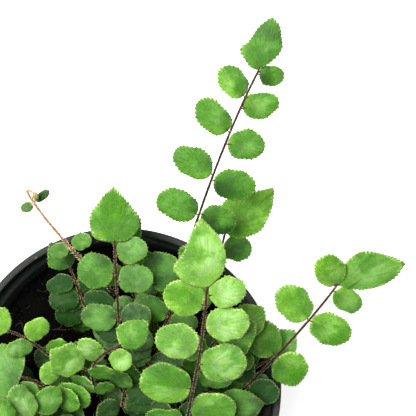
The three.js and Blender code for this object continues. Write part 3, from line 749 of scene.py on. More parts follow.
def edge(blade, s, hand):
    """How far the blade reaches across at s: s to one power times (1-s) to another, over its peak.

    An end leaflet's left and right have their own powers, and its left is swollen near the foot by lobe."""
    shape = {"form": SIDE_FORM} if blade.side else blade.frond
    form, lean, lobe = shape.get("form", END_FORM), shape.get("lean", 0.0), shape.get("lobe", 0.0)
    left = hand > 0
    base, tip = np.where(left, form[0], form[2]), np.where(left, form[1], form[3])
    peak = (base / (base + tip)) ** base * (tip / (base + tip)) ** tip
    half = blade.width / 2 * (1 + hand * lean) * s**base * (1 - s) ** tip / peak
    swell = np.where(left, lobe * np.exp(-(((s - LOBE_PLACE) / LOBE_REACH) ** 2)), 0)
    return hand * half * (1 + swell)


def strayed_outline(blade, draw):
    """The smooth outline: its two sides differ a little in width, and slow waves run round it."""
    turn = np.linspace(0, math.tau, OUTLINE_STEPS + 1)
    s = np.clip((1 - np.cos(turn)) / 2, 0, 1)
    lopsided = 1 + draw(-LOPSIDED, LOPSIDED) * np.sin(turn)
    waves = (draw(-UNEVEN, UNEVEN) * np.sin(k * turn + draw(0, math.tau)) for k in (2, 3, 4, 5, 7))
    uneven = 1 + sum(waves)
    foot = SIDE_FOOT if blade.side else END_FOOT
    along = blade.start - foot + s * (blade.length + foot)
    return along, edge(blade, s, np.where(turn <= math.pi, 1.0, -1.0)) * lopsided * uneven


def toothed_outline(blade, draw):
    """The outline at even steps of its own length, three to a tooth, pulled in at each notch.

    A tooth is a rounded hump, the absolute sine of half its phase, and each notch has a depth of its own. The
    teeth drift a little along the edge, fade out near the foot, and are shallower on a narrow blade."""
    along, across = strayed_outline(blade, draw)
    run = travelled(np.stack([along, across], axis=1))
    teeth = 2 * max(FEWEST_TEETH, round(run[-1] / TOOTH_PITCH / 2))
    count = 3 * teeth
    step = np.arange(count) / count
    drift = TOOTH_DRIFT / teeth * np.sin(math.tau * (3 * step + draw(0, 1)))
    at = run[-1] * np.clip(step + drift * np.sin(math.pi * step), 0, 1)
    line = np.stack([np.interp(at, run, along), np.interp(at, run, across)], axis=1)
    ahead = units(np.roll(line, -1, axis=0) - np.roll(line, 1, axis=0))
    hump = np.abs(np.sin(math.pi * np.arange(count) / 3))
    near_foot = np.clip((line[:, 0] - blade.start) / (TOOTHLESS * blade.length), 0, 1)
    depth = np.repeat(within(TOOTH_VARY, many(draw, teeth, 1)[:, 0]), 3)
    pull = TOOTH_DEPTH * min(1.0, blade.width / TOOTH_WIDTH) ** 2 * (1 - hump) * near_foot * depth
    return line[:, 0] - ahead[:, 1] * pull, line[:, 1] + ahead[:, 0] * pull, hump


def relief_of(blade, draw, x, y, radii, turn):
    """The height of a blade's rings over its dome: waves that grow outward, less the rolled edge and the rib.

    Two slow ripples grow with the square of the way out, and three shorter puckers with its cube."""
    ripple = sum(draw(-1, 1) * np.cos(k * turn + draw(0, math.tau)) for k in (2, 3))
    pucker = sum(draw(0.3, 1) * np.cos(k * turn + draw(0, math.tau)) for k in (5, 7, 9))
    roll = np.clip((radii[:, None] - ROLL_FROM) / (1 - ROLL_FROM), 0, 1) ** 2
    rib = np.exp(-((y / RIB_WIDTH) ** 2)) * np.clip(1 - (x - blade.start) / (RIB_LONG * blade.length), 0, 1)
    out = radii[:, None]
    waves = RIPPLE * blade.width * out**2 * ripple + PUCKER * out**3 * pucker
    return waves - ROLL_DEPTH * roll - RIB_DEPTH * rib


def add_leaflet(build, blade, draw, age_and_shade):
    """One leaflet: its outline shrunk towards its middle in rings above, a rolled edge, and rings below."""
    along, across, hump = toothed_outline(blade, draw)
    middle = blade.start + blade.length * (SIDE_MIDDLE if blade.side else END_MIDDLE)
    turn = np.arctan2(across, along - middle)
    radii = np.array([*RINGS_ABOVE, *RINGS_BELOW])
    below = np.array([0.0] * len(RINGS_ABOVE) + [1.0] * len(RINGS_BELOW))
    x = middle + radii[:, None] * (along - middle)[None]
    y = radii[:, None] * across[None]
    height = relief_of(blade, draw, x, y, radii, turn) + BLADE * (0.5 - below[:, None])
    x, y = np.append(x, [middle, middle]), np.append(y, [0, 0])
    height = np.append(height, [BLADE / 2 - DIMPLE, -BLADE / 2 - DIMPLE])
    verts = blade.surface(x, y, height)
    rings = verts[:-2].reshape(len(radii), len(along), 3)
    reach = np.append(np.repeat(radii, len(along)), [0, 0])
    under = np.append(np.repeat(below, len(along)), [0, 1])
    tooth = np.append(np.tile(hump, len(radii)), [0, 0])
    own = draw(0.02, blade.frond.get("bloom_and_sheen", 1.0))
    comb = np.arctan2(y, x - blade.start - VEIN_SOURCE * blade.length)
    skin = rows_of(reach, 0.5 + 0.5 * np.cos(comb), 0.5 + 0.5 * np.sin(comb), under)
    # the first value of tone is the leaflet's age together with its painted light and shade
    tone = rows_of(age_and_shade, np.clip((x - blade.start) / blade.length, 0, 1), tooth, own)
    uv = rows_of((x - blade.start) * UV_PER_MM + 0.02, y * UV_PER_MM + 0.5)
    closed_rings(build, rings, verts[-2:], uv=uv, skin=skin, tone=tone)


def cover(blade, placed):
    """The share of a leaflet that others overhang, as seen from straight above, where two count double."""
    rim = blade.rim()
    over = np.zeros(len(rim))
    for other in placed:
        middle = other.spot(other.start + other.length / 2)
        away = rim[:, :2] - middle[:2]
        along, across = away @ unit(other.u[:2]), away @ unit(other.v[:2])
        inside = (along / (other.length / 2)) ** 2 + (across / (other.width / 2)) ** 2 < 1
        over += inside & (middle[2] > rim[:, 2] + COVER_ABOVE)
    return float(np.minimum(over, 2).mean())


def leaflet_age_and_shade(blade, placed):
    """How fresh a leaflet's green is, with its painted light and shade, from 0, old and in painted shade,
    overhung and deep in the clump, to 1, new and in painted light high up.

    On the young frond those near the tip are the darkest."""
    frond, height = blade.frond, blade.point[2]
    if "crook" in frond:
        return float(np.clip(0.9 - 2 * (blade.t - 0.5), 0, 1))
    # the frond's own tone, together with painted light and shade set for each frond; left adds more on the
    # left, and foot below the middle
    fresh_and_light = frond.get("fresh_and_light", 0.0)
    if blade.side:
        fresh_and_light = frond.get("lower", fresh_and_light)
    if blade.side < 0:
        fresh_and_light += frond.get("left", 0.0)
    if blade.side and blade.t < 0.5:
        fresh_and_light += frond.get("foot", 0.0)
    # painted light that grows with height, and painted shade deep in the clump and under other leaflets
    light = np.clip((height - LIGHT_FROM) / LIGHT_OVER, 0, 1)
    deep = np.clip((DEEP_FROM - height) / DEEP_OVER, 0, 1)
    fresh_and_light += 0.5 + LIGHT_GAIN * light + PLACE_GAIN * (blade.t - 0.5)
    return float(np.clip(fresh_and_light - DEEP_SHADE * deep - COVER_SHADE * cover(blade, placed), 0, 1))


# ---------------------------------------------------------------- fronds

def stalk_line(frond):
    """Points, two directions across and radii of a stalk, from its sunk foot to its tip or round its hook."""
    t = np.linspace(0, 1, STALK_RINGS)
    points, tangents, side, front = stalk_axes(frond, t)
    radius = STALK_FOOT + (STALK_HEAD - STALK_FOOT) * t
    if "crook" in frond:
        hook = hook_line(frond["crook"], points[-1], tangents[-1], side[-1], front[-1])
        points, side, front, radius = (
            np.concatenate(pair) for pair in zip((points, side, front, YOUNG_SLIM * radius), hook)
        )
    flat = unit(side[0] * [1, 1, 0])
    sunk = points[0] - UP * STALK_SUNK
    points, radius = np.concatenate([[sunk], points]), np.append(radius[0], radius)
    return points, np.concatenate([[flat], side]), np.concatenate([[np.cross(UP, flat)], front]), radius


def hook_line(crook, tip, tangent, normal, right):
    """The same of a young frond's hook: a spiral whose radius shrinks evenly, with a bud that swells and
    closes as the sine of its own part to the power 0.7."""
    inward = unit(right + normal)
    across = np.cross(inward, tangent)
    part = np.arange(1, HOOK_RINGS + 1)[:, None] / HOOK_RINGS
    turn = np.radians(HOOK_TURN) * part
    bend = crook * (1 - HOOK_CLOSE * part)
    points = tip + inward * (crook - bend * np.cos(turn)) + tangent * bend * np.sin(turn)
    out = -inward * np.cos(turn) + tangent * np.sin(turn)
    bud = np.clip((part[:, 0] - BUD_FROM) / (1 - BUD_FROM), 0, 1)
    radius = HOOK_FOOT + (HOOK_HEAD - HOOK_FOOT) * part[:, 0] + BUD_SWELL * np.sin(math.pi * bud) ** 0.7
    return points, (across - out) / math.sqrt(2), -(across + out) / math.sqrt(2), radius


def add_stalk(build, frond, blades, draw):
    """The stalk, whose radius sways a little in two waves, and the stub that carries each leaflet.

    A stub is an arc from inside the stalk to under the foot of the blade, and grows thinner on its way."""
    points, side, front, radius = stalk_line(frond)
    steps = np.arange(len(points))
    radius = radius * sum((size * np.sin(steps * pace + draw(0, 6)) for size, pace in STALK_WAVES), 1)
    part = np.clip(steps / (STALK_RINGS - 1), 0, 1)
    young = float("crook" in frond)
    bud = np.clip((steps - STALK_RINGS) / HOOK_RINGS - BUD_FROM, 0, BUD_BLEND) / BUD_BLEND
    tube(build, points, side, front, radius, STALK_SIDES, tone=rows_of(part, draw(0, 1), young, bud))
    run = np.linspace(0, 1, STUB_RINGS)
    for blade in blades:
        foot = blade.point - blade.u * (STUB_INSIDE_SIDE if blade.side else STUB_INSIDE_END)
        head = blade.spot(blade.start + STUB_UNDER * blade.length, -STUB_BELOW)
        line = arc(foot, (foot + head) / 2 + blade.w * STUB_BOW, head, run[:, None])
        up, across = np.broadcast_to(blade.w, line.shape), np.broadcast_to(-blade.v, line.shape)
        tone = rows_of(0.85 + 0.15 * run, 0.5, young, 0.0)
        tube(build, line, up, across, STUB_RADIUS * (1.25 - 0.75 * run), 6, tone=tone)


def add_scales(build, frond, blades, draw):
    """Narrow scales on the stalk: each leaves its side at a slant, longer and denser towards the soil.

    They grow on its two flanks in turn, at even steps along it, and stray a little both ways. A tuft of them
    stands where each leaflet's stub leaves the stalk."""
    points, side, front, radius = stalk_line(frond)
    young = "crook" in frond
    kind = YOUNG_SCALES if young else SCALES
    run = travelled(points)
    count = int((run[-1] - STALK_SUNK) * kind["per_mm"])
    stray = many(draw, count, 5)
    low = ((np.arange(count) + stray[:, 0]) / count) ** kind["even"]
    at = STALK_SUNK - SCALES_BELOW + (run[-1] - STALK_SUNK + SCALES_BELOW) * low ** kind["crowd"]

    def there(rows):
        return np.stack([np.interp(at, run, column) for column in rows.T], axis=1)

    turn = math.pi * (np.arange(count) % 2) + math.pi / 2 + SCALE["fan"] * (stray[:, 1] - 0.5)
    side, front = there(side), there(front)
    spoke = np.cos(turn)[:, None] * side + np.sin(turn)[:, None] * front
    roots = there(points) + spoke * (np.interp(at, run, radius) * SCALE["inset"])[:, None]
    askew = (stray[:, 3:5] - 0.5) @ np.array([[0.5, 0.2, 0.3], [0.1, -0.4, 0.4]])
    ways = units(spoke + np.cross(side, front) * within(SCALE["slant"], stray[:, 2:3]) + askew)
    length = within(SCALE["long"], stray[:, 4]) * within(SCALE["taper"], low) * kind["long"]
    tone = rows_of(low, stray[:, 3], float(young), 1.0)
    cones(build, roots, ways, length, within(SCALE["radius"], stray[:, 2]), tone)
    for blade in blades:
        if blade.side == 0:
            continue
        tuft = many(draw, TUFT["count"], 5)
        ways = units(blade.u + (tuft[:, :3] - 0.5) * TUFT["spread"] + blade.w * TUFT["up"])
        roots = blade.point + (tuft[:, 2:5] - 0.5) * TUFT["wide"]
        shade = np.clip((blade.t - 0.4) / 0.3, 0, 1)
        tone = rows_of(0.5, tuft[:, 3], float(young), 1 - shade)
        length, radius = within(TUFT["long"], tuft[:, 4]), within(TUFT["radius"], tuft[:, 0])
        cones(build, roots, ways, length, radius, tone)


def make_fronds(materials):
    draw = SeededDraw(SPREAD_SEED)
    fronds = FRONDS + [spread_frond(index, draw) for index in range(SPREAD["count"])]
    placed = place_blades(fronds)
    for number, frond in enumerate(fronds):
        name, young = frond["name"], "crook" in frond
        own = [blade for blade in placed if blade.frond is frond]
        stray = SeededDraw(FROND_SEED + FROND_SEED_STEP * number)
        leaves, stalk, scales = Build(), Build(), Build()
        for blade in own:
            add_leaflet(leaves, blade, stray, leaflet_age_and_shade(blade, placed))
        add_stalk(stalk, frond, own, stray)
        add_scales(scales, frond, own, stray)
        slot = "young_frond" if young else "frond_leaf"
        leaves.piece(f"leaflets_{name}", materials["young_leaf" if young else "leaf"], slot, f"frond_{name}")
        stalk.piece(f"stalk_{name}", materials["stalk"], slot)
        scales.piece(f"scales_{name}", materials["scales"], slot)


# ---------------------------------------------------------------- pot and soil

def rounded(profile, cut, steps=4):
    """The profile with each inner corner turned into a short arc.

    It leaves the edges at cut from the corner, or at two fifths of a shorter edge."""
    before, corner, after = profile[:-2], profile[1:-1], profile[2:]
    s = np.linspace(0, 1, steps)[None, :, None]
    ends = []
    for neighbour in (before, after):
        away = neighbour - corner
        length = np.linalg.norm(away, axis=1, keepdims=True)
        ends.append(corner + away / length * np.minimum(cut, 0.4 * length))
    curve = arc(ends[0][:, None], corner[:, None], ends[1][:, None], s)
    return np.concatenate([profile[:1], curve.reshape(-1, 2), profile[-1:]])


def lathe(profile, sides):
    """Turns rows of radius and height about the upright axis into rings."""
    angle = math.tau * np.arange(sides) / sides
    radius, height = profile[:, 0:1], profile[:, 1:2]
    return np.stack([radius * np.cos(angle), radius * np.sin(angle), height + 0 * angle], axis=-1)


def sheet_quads(rows, columns):
    """The quads of a sheet of points, row by row."""
    first = (np.arange(rows - 1)[:, None] * columns + np.arange(columns - 1)[None, :]).ravel()
    return np.stack([first, first + 1, first + columns + 1, first + columns], axis=1)


def drained_plate(build, inner, outer, height, upward):
    """A flat ring of the pot's base with its drain holes, and on its underside the walls of the holes.

    Round each hole, points run from the circle straight out to the edge of the hole's own sector."""
    half = math.pi / DRAIN_COUNT
    sweep = np.linspace(-half, half, POT_SIDES // DRAIN_COUNT + 1)
    spoke = np.linspace(inner, outer, 9)
    radius, angle = np.concatenate([
        rows_of(inner, sweep), rows_of(spoke[1:], half),
        rows_of(outer, sweep[::-1][1:]), rows_of(spoke[::-1][1:], -half),
    ]).T
    edge_line = rows_of(radius * np.cos(angle), radius * np.sin(angle))
    circle = [DRAIN_RING, 0] + units(edge_line - [DRAIN_RING, 0]) * DRAIN_RADIUS
    rows = np.array([0, 0.25, 0.6, 1.0])[:, None, None]
    flat = (circle + rows * (edge_line - circle)).reshape(-1, 2)
    ring = len(edge_line)
    for hole in range(DRAIN_COUNT):
        x, y = turned(*flat.T, 2 * half * hole)
        quads = sheet_quads(len(rows), ring)
        build.add(rows_of(x, y, height), quads if upward else quads[:, ::-1])
        if not upward:
            wall = np.concatenate([rows_of(x[:ring], y[:ring], level) for level in (height, PLATE_TOP)])
            build.add(wall, sheet_quads(2, ring))


def make_pot(material):
    """The pot's wall, turned about its axis from its profile, joined to the drained plates of its base."""
    inner, outer = FOOT_INNER + FOOT_SLOPE + PLATE_MARGIN, FOOT_OUTER - FOOT_SLOPE - PLATE_MARGIN
    centre = np.array([(0, 0), (FOOT_INNER, 0), (FOOT_INNER + FOOT_SLOPE, FOOT_RISE), (inner, FOOT_RISE)])
    wall = np.array([
        (outer, FOOT_RISE), (FOOT_OUTER - FOOT_SLOPE, FOOT_RISE), (FOOT_OUTER, 0), (BASE_RADIUS - 1, 0),
        (BASE_RADIUS, 1), (SHOULDER_RADIUS, SHOULDER), (COLLAR_RADIUS, SHOULDER + WALL),
        (COLLAR_RADIUS, POT_HEIGHT - LIP_DEPTH), (RIM_RADIUS, POT_HEIGHT - LIP_DEPTH + LIP_ROUND),
        (RIM_RADIUS, POT_HEIGHT), (RIM_RADIUS - RIM_WIDTH, POT_HEIGHT),
        (RIM_RADIUS - RIM_WIDTH, SHOULDER + 2 * WALL), (SHOULDER_RADIUS - WALL, SHOULDER + WALL),
        (BASE_RADIUS - WALL, PLATE_TOP), (outer, PLATE_TOP),
    ])
    floor = np.array([(inner, PLATE_TOP), (0, PLATE_TOP)])
    build = Build()
    for profile in (rounded(centre, FOOT_CUT), rounded(wall, WALL_CUT), floor):
        build.add(lathe(profile, POT_SIDES).reshape(-1, 3), ring_quads(len(profile), POT_SIDES))
    drained_plate(build, inner, outer, FOOT_RISE, False)
    drained_plate(build, inner, outer, PLATE_TOP, True)
    build.weld()
    build.piece("pot_shell", material, "pot_plastic", "pot")


def ripples(x, y, draw, count, longest, shortest, steepness):
    """The sum of sine waves in drawn directions, each as high as its length times steepness."""
    total = np.zeros_like(x)
    for k in range(count):
        length = longest * (shortest / longest) ** (k / (count - 1)) * draw(0.9, 1.1)
        heading, phase = draw(0, math.tau), draw(0, math.tau)
        across = (x * math.cos(heading) + y * math.sin(heading)) * math.tau / length
        total += length * steepness * np.sin(across + phase + 0.8 * np.sin(y / length + phase))
    return total


def peat_height(x, y):
    """The soil's two broad waves with finer ones laid over them."""
    return soil_height(x, y) + ripples(x, y, SeededDraw(RIPPLE_SEED), **PEAT_RIPPLES)


def soil_edge_radius(height):
    """The pot's inner radius at a height, less the gap."""
    part = (height - PLATE_TOP) / (SHOULDER + WALL - PLATE_TOP)
    return BASE_RADIUS - WALL + (SHOULDER_RADIUS - BASE_RADIUS) * part - SOIL_GAP


def make_peat_bed(material):
    """A closed drum of peat: its top is a ring grid raised by peat_height, which fades out at the edge."""
    base, brim = PLATE_TOP + SOIL_GAP, SOIL_TOP - 3 * SOIL_BUMP
    side_height = np.linspace(base, brim, 10)[1:]
    bottom = rows_of([0.001, 20, soil_edge_radius(base)], base)
    side = rows_of(soil_edge_radius(side_height), side_height)
    top = rows_of(soil_edge_radius(brim) * np.linspace(1, 0, SOIL_RINGS + 2)[1:-1], brim)
    rings = lathe(np.concatenate([bottom, side, top]), SOIL_SIDES)
    surface = rings[len(bottom) + len(side):]
    fade = np.clip((soil_edge_radius(brim) - top[:, :1]) / SOIL_FADE, 0, 1)
    surface[..., 2] = brim + fade * (peat_height(surface[..., 0], surface[..., 1]) - brim)
    ends = np.array([[0, 0, base], [0, 0, peat_height(np.zeros(1), np.zeros(1))[0]]])
    soil = Build()
    closed_rings(soil, rings, ends)
    soil.piece("peat_bed", material, "potting_mix", "soil")


def make_soil(materials):
    """The peat, and the crumbs, perlite and fibres that lie on it."""
    make_peat_bed(materials["peat"])
    draw = SeededDraw(LITTER_SEED)
    crumbs, specks, fibres = Build(), Build(), Build()
    add_grit(crumbs, draw, **CRUMBS)
    add_grit(specks, draw, **SPECKS)
    add_fibres(fibres, draw)
    crumbs.piece("peat_crumbs", materials["peat"], "potting_mix")
    specks.piece("perlite_specks", materials["perlite"], "potting_mix")
    fibres.piece("peat_fibres", materials["fibre"], "potting_mix")


def scattered(draw, count):
    """Even places over the soil: the radius is the square root of a draw, times the furthest."""
    spots = many(draw, count, 2)
    radius, angle = LITTER_RADIUS * np.sqrt(spots[:, 0]), math.tau * spots[:, 1]
    return radius * np.cos(angle), radius * np.sin(angle)


def add_grit(build, draw, count, smallest, largest):
    """Lumps of twenty faces: an icosahedron whose corners are pushed in or out, set a third into the soil."""
    golden = (1 + math.sqrt(5)) / 2
    corners = np.array([
        (-1, golden, 0), (1, golden, 0), (-1, -golden, 0), (1, -golden, 0), (0, -1, golden), (0, 1, golden),
        (0, -1, -golden), (0, 1, -golden), (golden, 0, -1), (golden, 0, 1), (-golden, 0, -1), (-golden, 0, 1),
    ]) / math.hypot(1, golden)
    faces = np.array([
        (0, 11, 5), (0, 5, 1), (0, 1, 7), (0, 7, 10), (0, 10, 11), (1, 5, 9), (5, 11, 4), (11, 10, 2),
        (10, 7, 6), (7, 1, 8), (3, 9, 4), (3, 4, 2), (3, 2, 6), (3, 6, 8), (3, 8, 9), (4, 9, 5), (2, 4, 11),
        (6, 2, 10), (8, 6, 7), (9, 8, 1),
    ])
    x, y = scattered(draw, count)
    stray = many(draw, count, 16)
    size = smallest + (largest - smallest) * stray[:, 0] ** 3
    shape = rows_of(*(within(GRIT[way], stray[:, k]) for k, way in ((1, "wide"), (2, "wide"), (3, "high"))))
    lumps = corners[None] * within(GRIT["dent"], stray[:, 4:16, None]) * shape[:, None] * size[:, None, None]
    lumps += rows_of(x, y, peat_height(x, y) + GRIT["above"] * size)[:, None]
    tris = (faces[None] + 12 * np.arange(count)[:, None, None]).reshape(-1, 3)
    tone = np.repeat(rows_of(stray[:, 5], stray[:, 6], stray[:, 7], 1.0), 12, axis=0)
    build.add(lumps.reshape(-1, 3), tris=tris, tone=tone)


def add_fibres(build, draw):
    """Thin threads that lie on the soil, each bent like an arch of a sine across its heading."""
    s = np.linspace(-0.5, 0.5, FIBRE_POINTS)
    for x, y in zip(*scattered(draw, FIBRES["count"])):
        length, heading, bend = draw(*FIBRES["long"]), draw(0, math.tau), draw(*FIBRES["bend"])
        ahead, aside = turned(length * s, bend * np.cos(math.pi * s), heading)
        line_x, line_y = (x + ahead) * FIBRES["inward"], (y + aside) * FIBRES["inward"]
        line = rows_of(line_x, line_y, peat_height(line_x, line_y) + 0.12 + draw(*FIBRES["lift"]) * np.abs(s))
        forward = units(np.gradient(line, axis=0))
        front = units(np.cross(forward, UP))
        tone = np.tile([draw(0, 1), draw(0, 1), 0, 1], (FIBRE_POINTS, 1))
        radius = draw(*FIBRES["radius"]) * (1 - 1.2 * s * s)
        tube(build, line, np.cross(front, forward), front, radius, 4, tone=tone)


# ---------------------------------------------------------------- finishes

class Nodes:
    """Short calls for a node tree. Each makes a node, feeds it and gives back its output."""

    def __init__(self, tree):
        self.tree = tree

    def feed(self, sockets, feeds):
        """Sets each socket to a value, or links an output to it. A colour is its red, green and blue."""
        for key, value in feeds.items():
            if isinstance(value, bpy.types.NodeSocket):
                self.tree.links.new(value, sockets[key])
            else:
                sockets[key].default_value = (*value, 1) if sockets[key].type == "RGBA" else value

    def make(self, kind, feeds=None, **settings):
        node = self.tree.nodes.new(kind)
        for key, value in settings.items():
            setattr(node, key, value)
        self.feed(node.inputs, feeds or {})
        return node

    def use(self, group, **feeds):
        return self.make("ShaderNodeGroup", feeds=feeds, node_tree=group)

    def math(self, operation, *values):
        return self.make("ShaderNodeMath", dict(enumerate(values)), operation=operation).outputs[0]

    def plus(self, value, share, rest):
        """A share of the value, added to the rest."""
        return self.math("MULTIPLY_ADD", value, share, rest)

    def times(self, first, *others):
        """The product of all."""
        for other in others:
            first = self.math("MULTIPLY", first, other)
        return first

    def ramp(self, value, low, high, start=0.0, end=1.0):
        """From start to end, smoothly, as the value goes from low to high."""
        feeds = {"Value": value, "From Min": low, "From Max": high, "To Min": start, "To Max": end}
        return self.make("ShaderNodeMapRange", feeds, interpolation_type="SMOOTHSTEP").outputs["Result"]

    def coats(self, colour, *coats):
        """A colour with others laid over it in turn. Each covers by the product of the shares beside it."""
        for other, *shares in coats:
            feeds = {0: self.times(*shares), 6: colour, 7: other}
            colour = self.make("ShaderNodeMix", feeds, data_type="RGBA").outputs[2]
        return colour

    def noise(self, place, scale, detail=3.0, roughness=0.55):
        feeds = {"Vector": place, "Scale": scale, "Detail": detail, "Roughness": roughness}
        return self.make("ShaderNodeTexNoise", feeds).outputs[0]

    def mask(self, group, place, **feeds):
        return self.use(group, Place=place, **feeds).outputs["Mask"]

    def bump(self, height, strength, distance):
        feeds = {"Height": height, "Strength": strength, "Distance": distance}
        return self.make("ShaderNodeBump", feeds).outputs[0]

    def channels(self, attribute):
        """The red, green, blue and alpha of a piece's own attribute."""
        node = self.make("ShaderNodeAttribute", attribute_name=attribute, attribute_type="GEOMETRY")
        split = self.make("ShaderNodeSeparateColor", {0: node.outputs["Color"]})
        return [*split.outputs, node.outputs["Alpha"]]

    def object_place(self):
        return self.make("ShaderNodeTexCoord").outputs["Object"]


KINDS = {"value": "NodeSocketFloat", "colour": "NodeSocketColor", "vector": "NodeSocketVector"}


def new_group(name, takes, gives):
    """An empty node group with its named sockets, and the nodes at its two ends."""
    tree = bpy.data.node_groups.new(name, "ShaderNodeTree")
    for way, sockets in (("INPUT", takes), ("OUTPUT", gives)):
        for title, kind in sockets.items():
            tree.interface.new_socket(name=title, in_out=way, socket_type=KINDS[kind])
    nodes = Nodes(tree)
    return nodes, nodes.make("NodeGroupInput").outputs, nodes.make("NodeGroupOutput").inputs


def patch_group():
    """Soft patches: a noise whose middle part is stretched to run from 0 to 1."""
    nodes, takes, gives = new_group("patches", dict(Place="vector", Scale="value"), dict(Mask="value"))
    cloud = nodes.noise(takes["Place"], takes["Scale"], 4.0)
    nodes.feed(gives, dict(Mask=nodes.ramp(cloud, 0.36, 0.64)))
    return nodes.tree


def speck_group():
    """Specks: round spots at the cells of a Voronoi pattern, where its own random value is under Share."""
    takes = dict(Place="vector", Scale="value", Share="value")
    nodes, takes, gives = new_group("specks", takes, dict(Mask="value"))
    cells = nodes.make("ShaderNodeTexVoronoi", {"Vector": takes["Place"], "Scale": takes["Scale"]})
    pick = nodes.make("ShaderNodeSeparateColor", {0: cells.outputs["Color"]}).outputs[0]
    spot = nodes.ramp(cells.outputs["Distance"], 0.12, 0.26, 1.0, 0.0)
    nodes.feed(gives, dict(Mask=nodes.times(spot, nodes.math("LESS_THAN", pick, takes["Share"]))))
    return nodes.tree


def leaf_tone(nodes, takes, broad):
    """Where a spot lies between the dark, old and shaded green and the new, lit one: by the leaf's age with
    its painted light and shade, in patches, and by halves.
    """
    own = takes["Own"]
    # painted shade by halves: one half of the blade lighter and the other darker, as if it were folded to the
    # light
    half = nodes.times(nodes.math("SUBTRACT", takes["North"], 0.5), nodes.math("SUBTRACT", 0.5, own))
    tone = nodes.plus(broad, 0.34, nodes.plus(own, 0.2, takes["Age"]))
    return nodes.math("ADD", nodes.plus(half, 0.65, tone), -0.26)


def leaf_veins(nodes, takes):
    """A noise combed outward: it is read round a circle, by a spot's heading, and shifts on the way out."""
    seed = nodes.plus(takes["Own"], 40.0, nodes.times(takes["Reach"], 0.9))
    east, north = (nodes.times(takes[key], VEIN_SCALE) for key in ("East", "North"))
    place = nodes.make("ShaderNodeCombineXYZ", {0: east, 1: north, 2: seed}).outputs[0]
    return nodes.noise(place, 1.0, 5.0, 0.78)


def leaf_green(nodes, takes, broad, small, fine, comb):
    """The upper side, and how far each spot is a pale tick at a tooth.

    It has painted shade at its foot, is darker between the veins, and has a haze of bloom, a painted sheen on
    the middle and a yellow margin. The sheen, the margin and the ticks are painted fainter on darker, shaded
    leaves."""
    reach, along, own, old_and_shaded = (takes[key] for key in ("Reach", "Along", "Own", "Old"))
    tone = leaf_tone(nodes, takes, broad)
    lit = nodes.ramp(tone, 0.3, 0.9)
    near_foot, near_middle = nodes.ramp(along, 0.0, 0.55, 1.0, 0.0), nodes.ramp(reach, 0.25, 1.0, 1.0, 0.0)
    between_veins = nodes.ramp(comb, 0.0, 0.6, 1.0, 0.0)
    inside, patchy = nodes.ramp(reach, 0.45, 0.95, 1.0, 0.0), nodes.ramp(broad, 0.3, 0.9)
    painted_sheen = nodes.times(inside, patchy, nodes.ramp(along, 0.08, 0.4), nodes.plus(comb, 0.6, 0.4))
    fleck = nodes.ramp(nodes.noise(takes["Place"], 380.0), 0.42, 0.62)
    ticks = nodes.times(nodes.ramp(reach, 0.86, 0.98), nodes.ramp(takes["Tooth"], 0.3, 0.75), fleck)
    # painted shade: the ticks are fainter on darker leaves
    ticks = nodes.times(ticks, nodes.plus(lit, 0.6, 0.35))
    green = nodes.coats(
        old_and_shaded,
        (takes["Middle"], nodes.ramp(tone, 0.0, 0.5)),
        (takes["New"], nodes.ramp(tone, 0.5, 1.0)),
        # painted shade at the foot of the blade, along its middle
        (old_and_shaded, near_foot, near_middle, 0.45),
        (old_and_shaded, small, 0.16),
        (old_and_shaded, nodes.ramp(fine, 0.42, 0.62), 0.26),
        (old_and_shaded, between_veins, nodes.ramp(reach, 0.1, 0.4), 0.36),
        (takes["BloomAndSheen"], own, nodes.plus(small, 0.14, 0.07)),
        # painted sheen: pale patches on the middle of the blade, stronger on lit leaves
        (takes["BloomAndSheen"], painted_sheen, nodes.ramp(own, 0.0, 0.6, 0.3, 1.0), nodes.plus(lit, 0.4, 0.12)),
        # the yellow margin, painted fainter on darker leaves
        (takes["Margin"], nodes.ramp(reach, 0.94, 0.99), nodes.plus(lit, 0.4, 0.32)),
        ((0.62, 0.74, 0.34), ticks, 0.8),
    )
    return green, ticks


def leaf_back(nodes, takes, comb):
    """The underside: paler, with a brown line of spore cases inside its margin."""
    reach = takes["Reach"]
    spores = nodes.times(nodes.ramp(reach, 0.8, 0.87), nodes.ramp(reach, 0.95, 0.99, 1.0, 0.0))
    return nodes.coats(takes["Back"], ((0.16, 0.12, 0.04), spores, 0.3), ((0.03, 0.1, 0.02), comb, 0.14))


def leaf_skin_group(patches):
    """A leaflet's colour on both sides, its roughness and its relief."""
    values = ("Reach", "East", "North", "Under", "Age", "Along", "Tooth", "Own")
    colours = ("Old", "Middle", "New", "BloomAndSheen", "Margin", "Back")
    takes = {"Place": "vector", **dict.fromkeys(values, "value"), **dict.fromkeys(colours, "colour")}
    gives = dict(Color="colour", Roughness="value", Height="value")
    nodes, takes, gives = new_group("leaf_skin", takes, gives)
    broad, small = (nodes.mask(patches, takes["Place"], Scale=scale) for scale in (95.0, 620.0))
    fine = nodes.noise(takes["Place"], 1500.0)
    veins = leaf_veins(nodes, takes)
    comb = nodes.ramp(veins, 0.34, 0.66)
    green, ticks = leaf_green(nodes, takes, broad, small, fine, comb)
    color = nodes.coats(green, (leaf_back(nodes, takes, comb), takes["Under"]))
    rough = nodes.plus(takes["Under"], 0.25, nodes.plus(broad, 0.1, 0.38))
    height = nodes.times(veins, nodes.ramp(takes["Reach"], 0.05, 0.4), 2.2)
    for part, share in ((small, 0.3), (fine, 0.25), (ticks, 0.3)):
        height = nodes.plus(part, share, height)
    nodes.feed(gives, dict(Color=color, Roughness=rough, Height=height))
    return nodes.tree


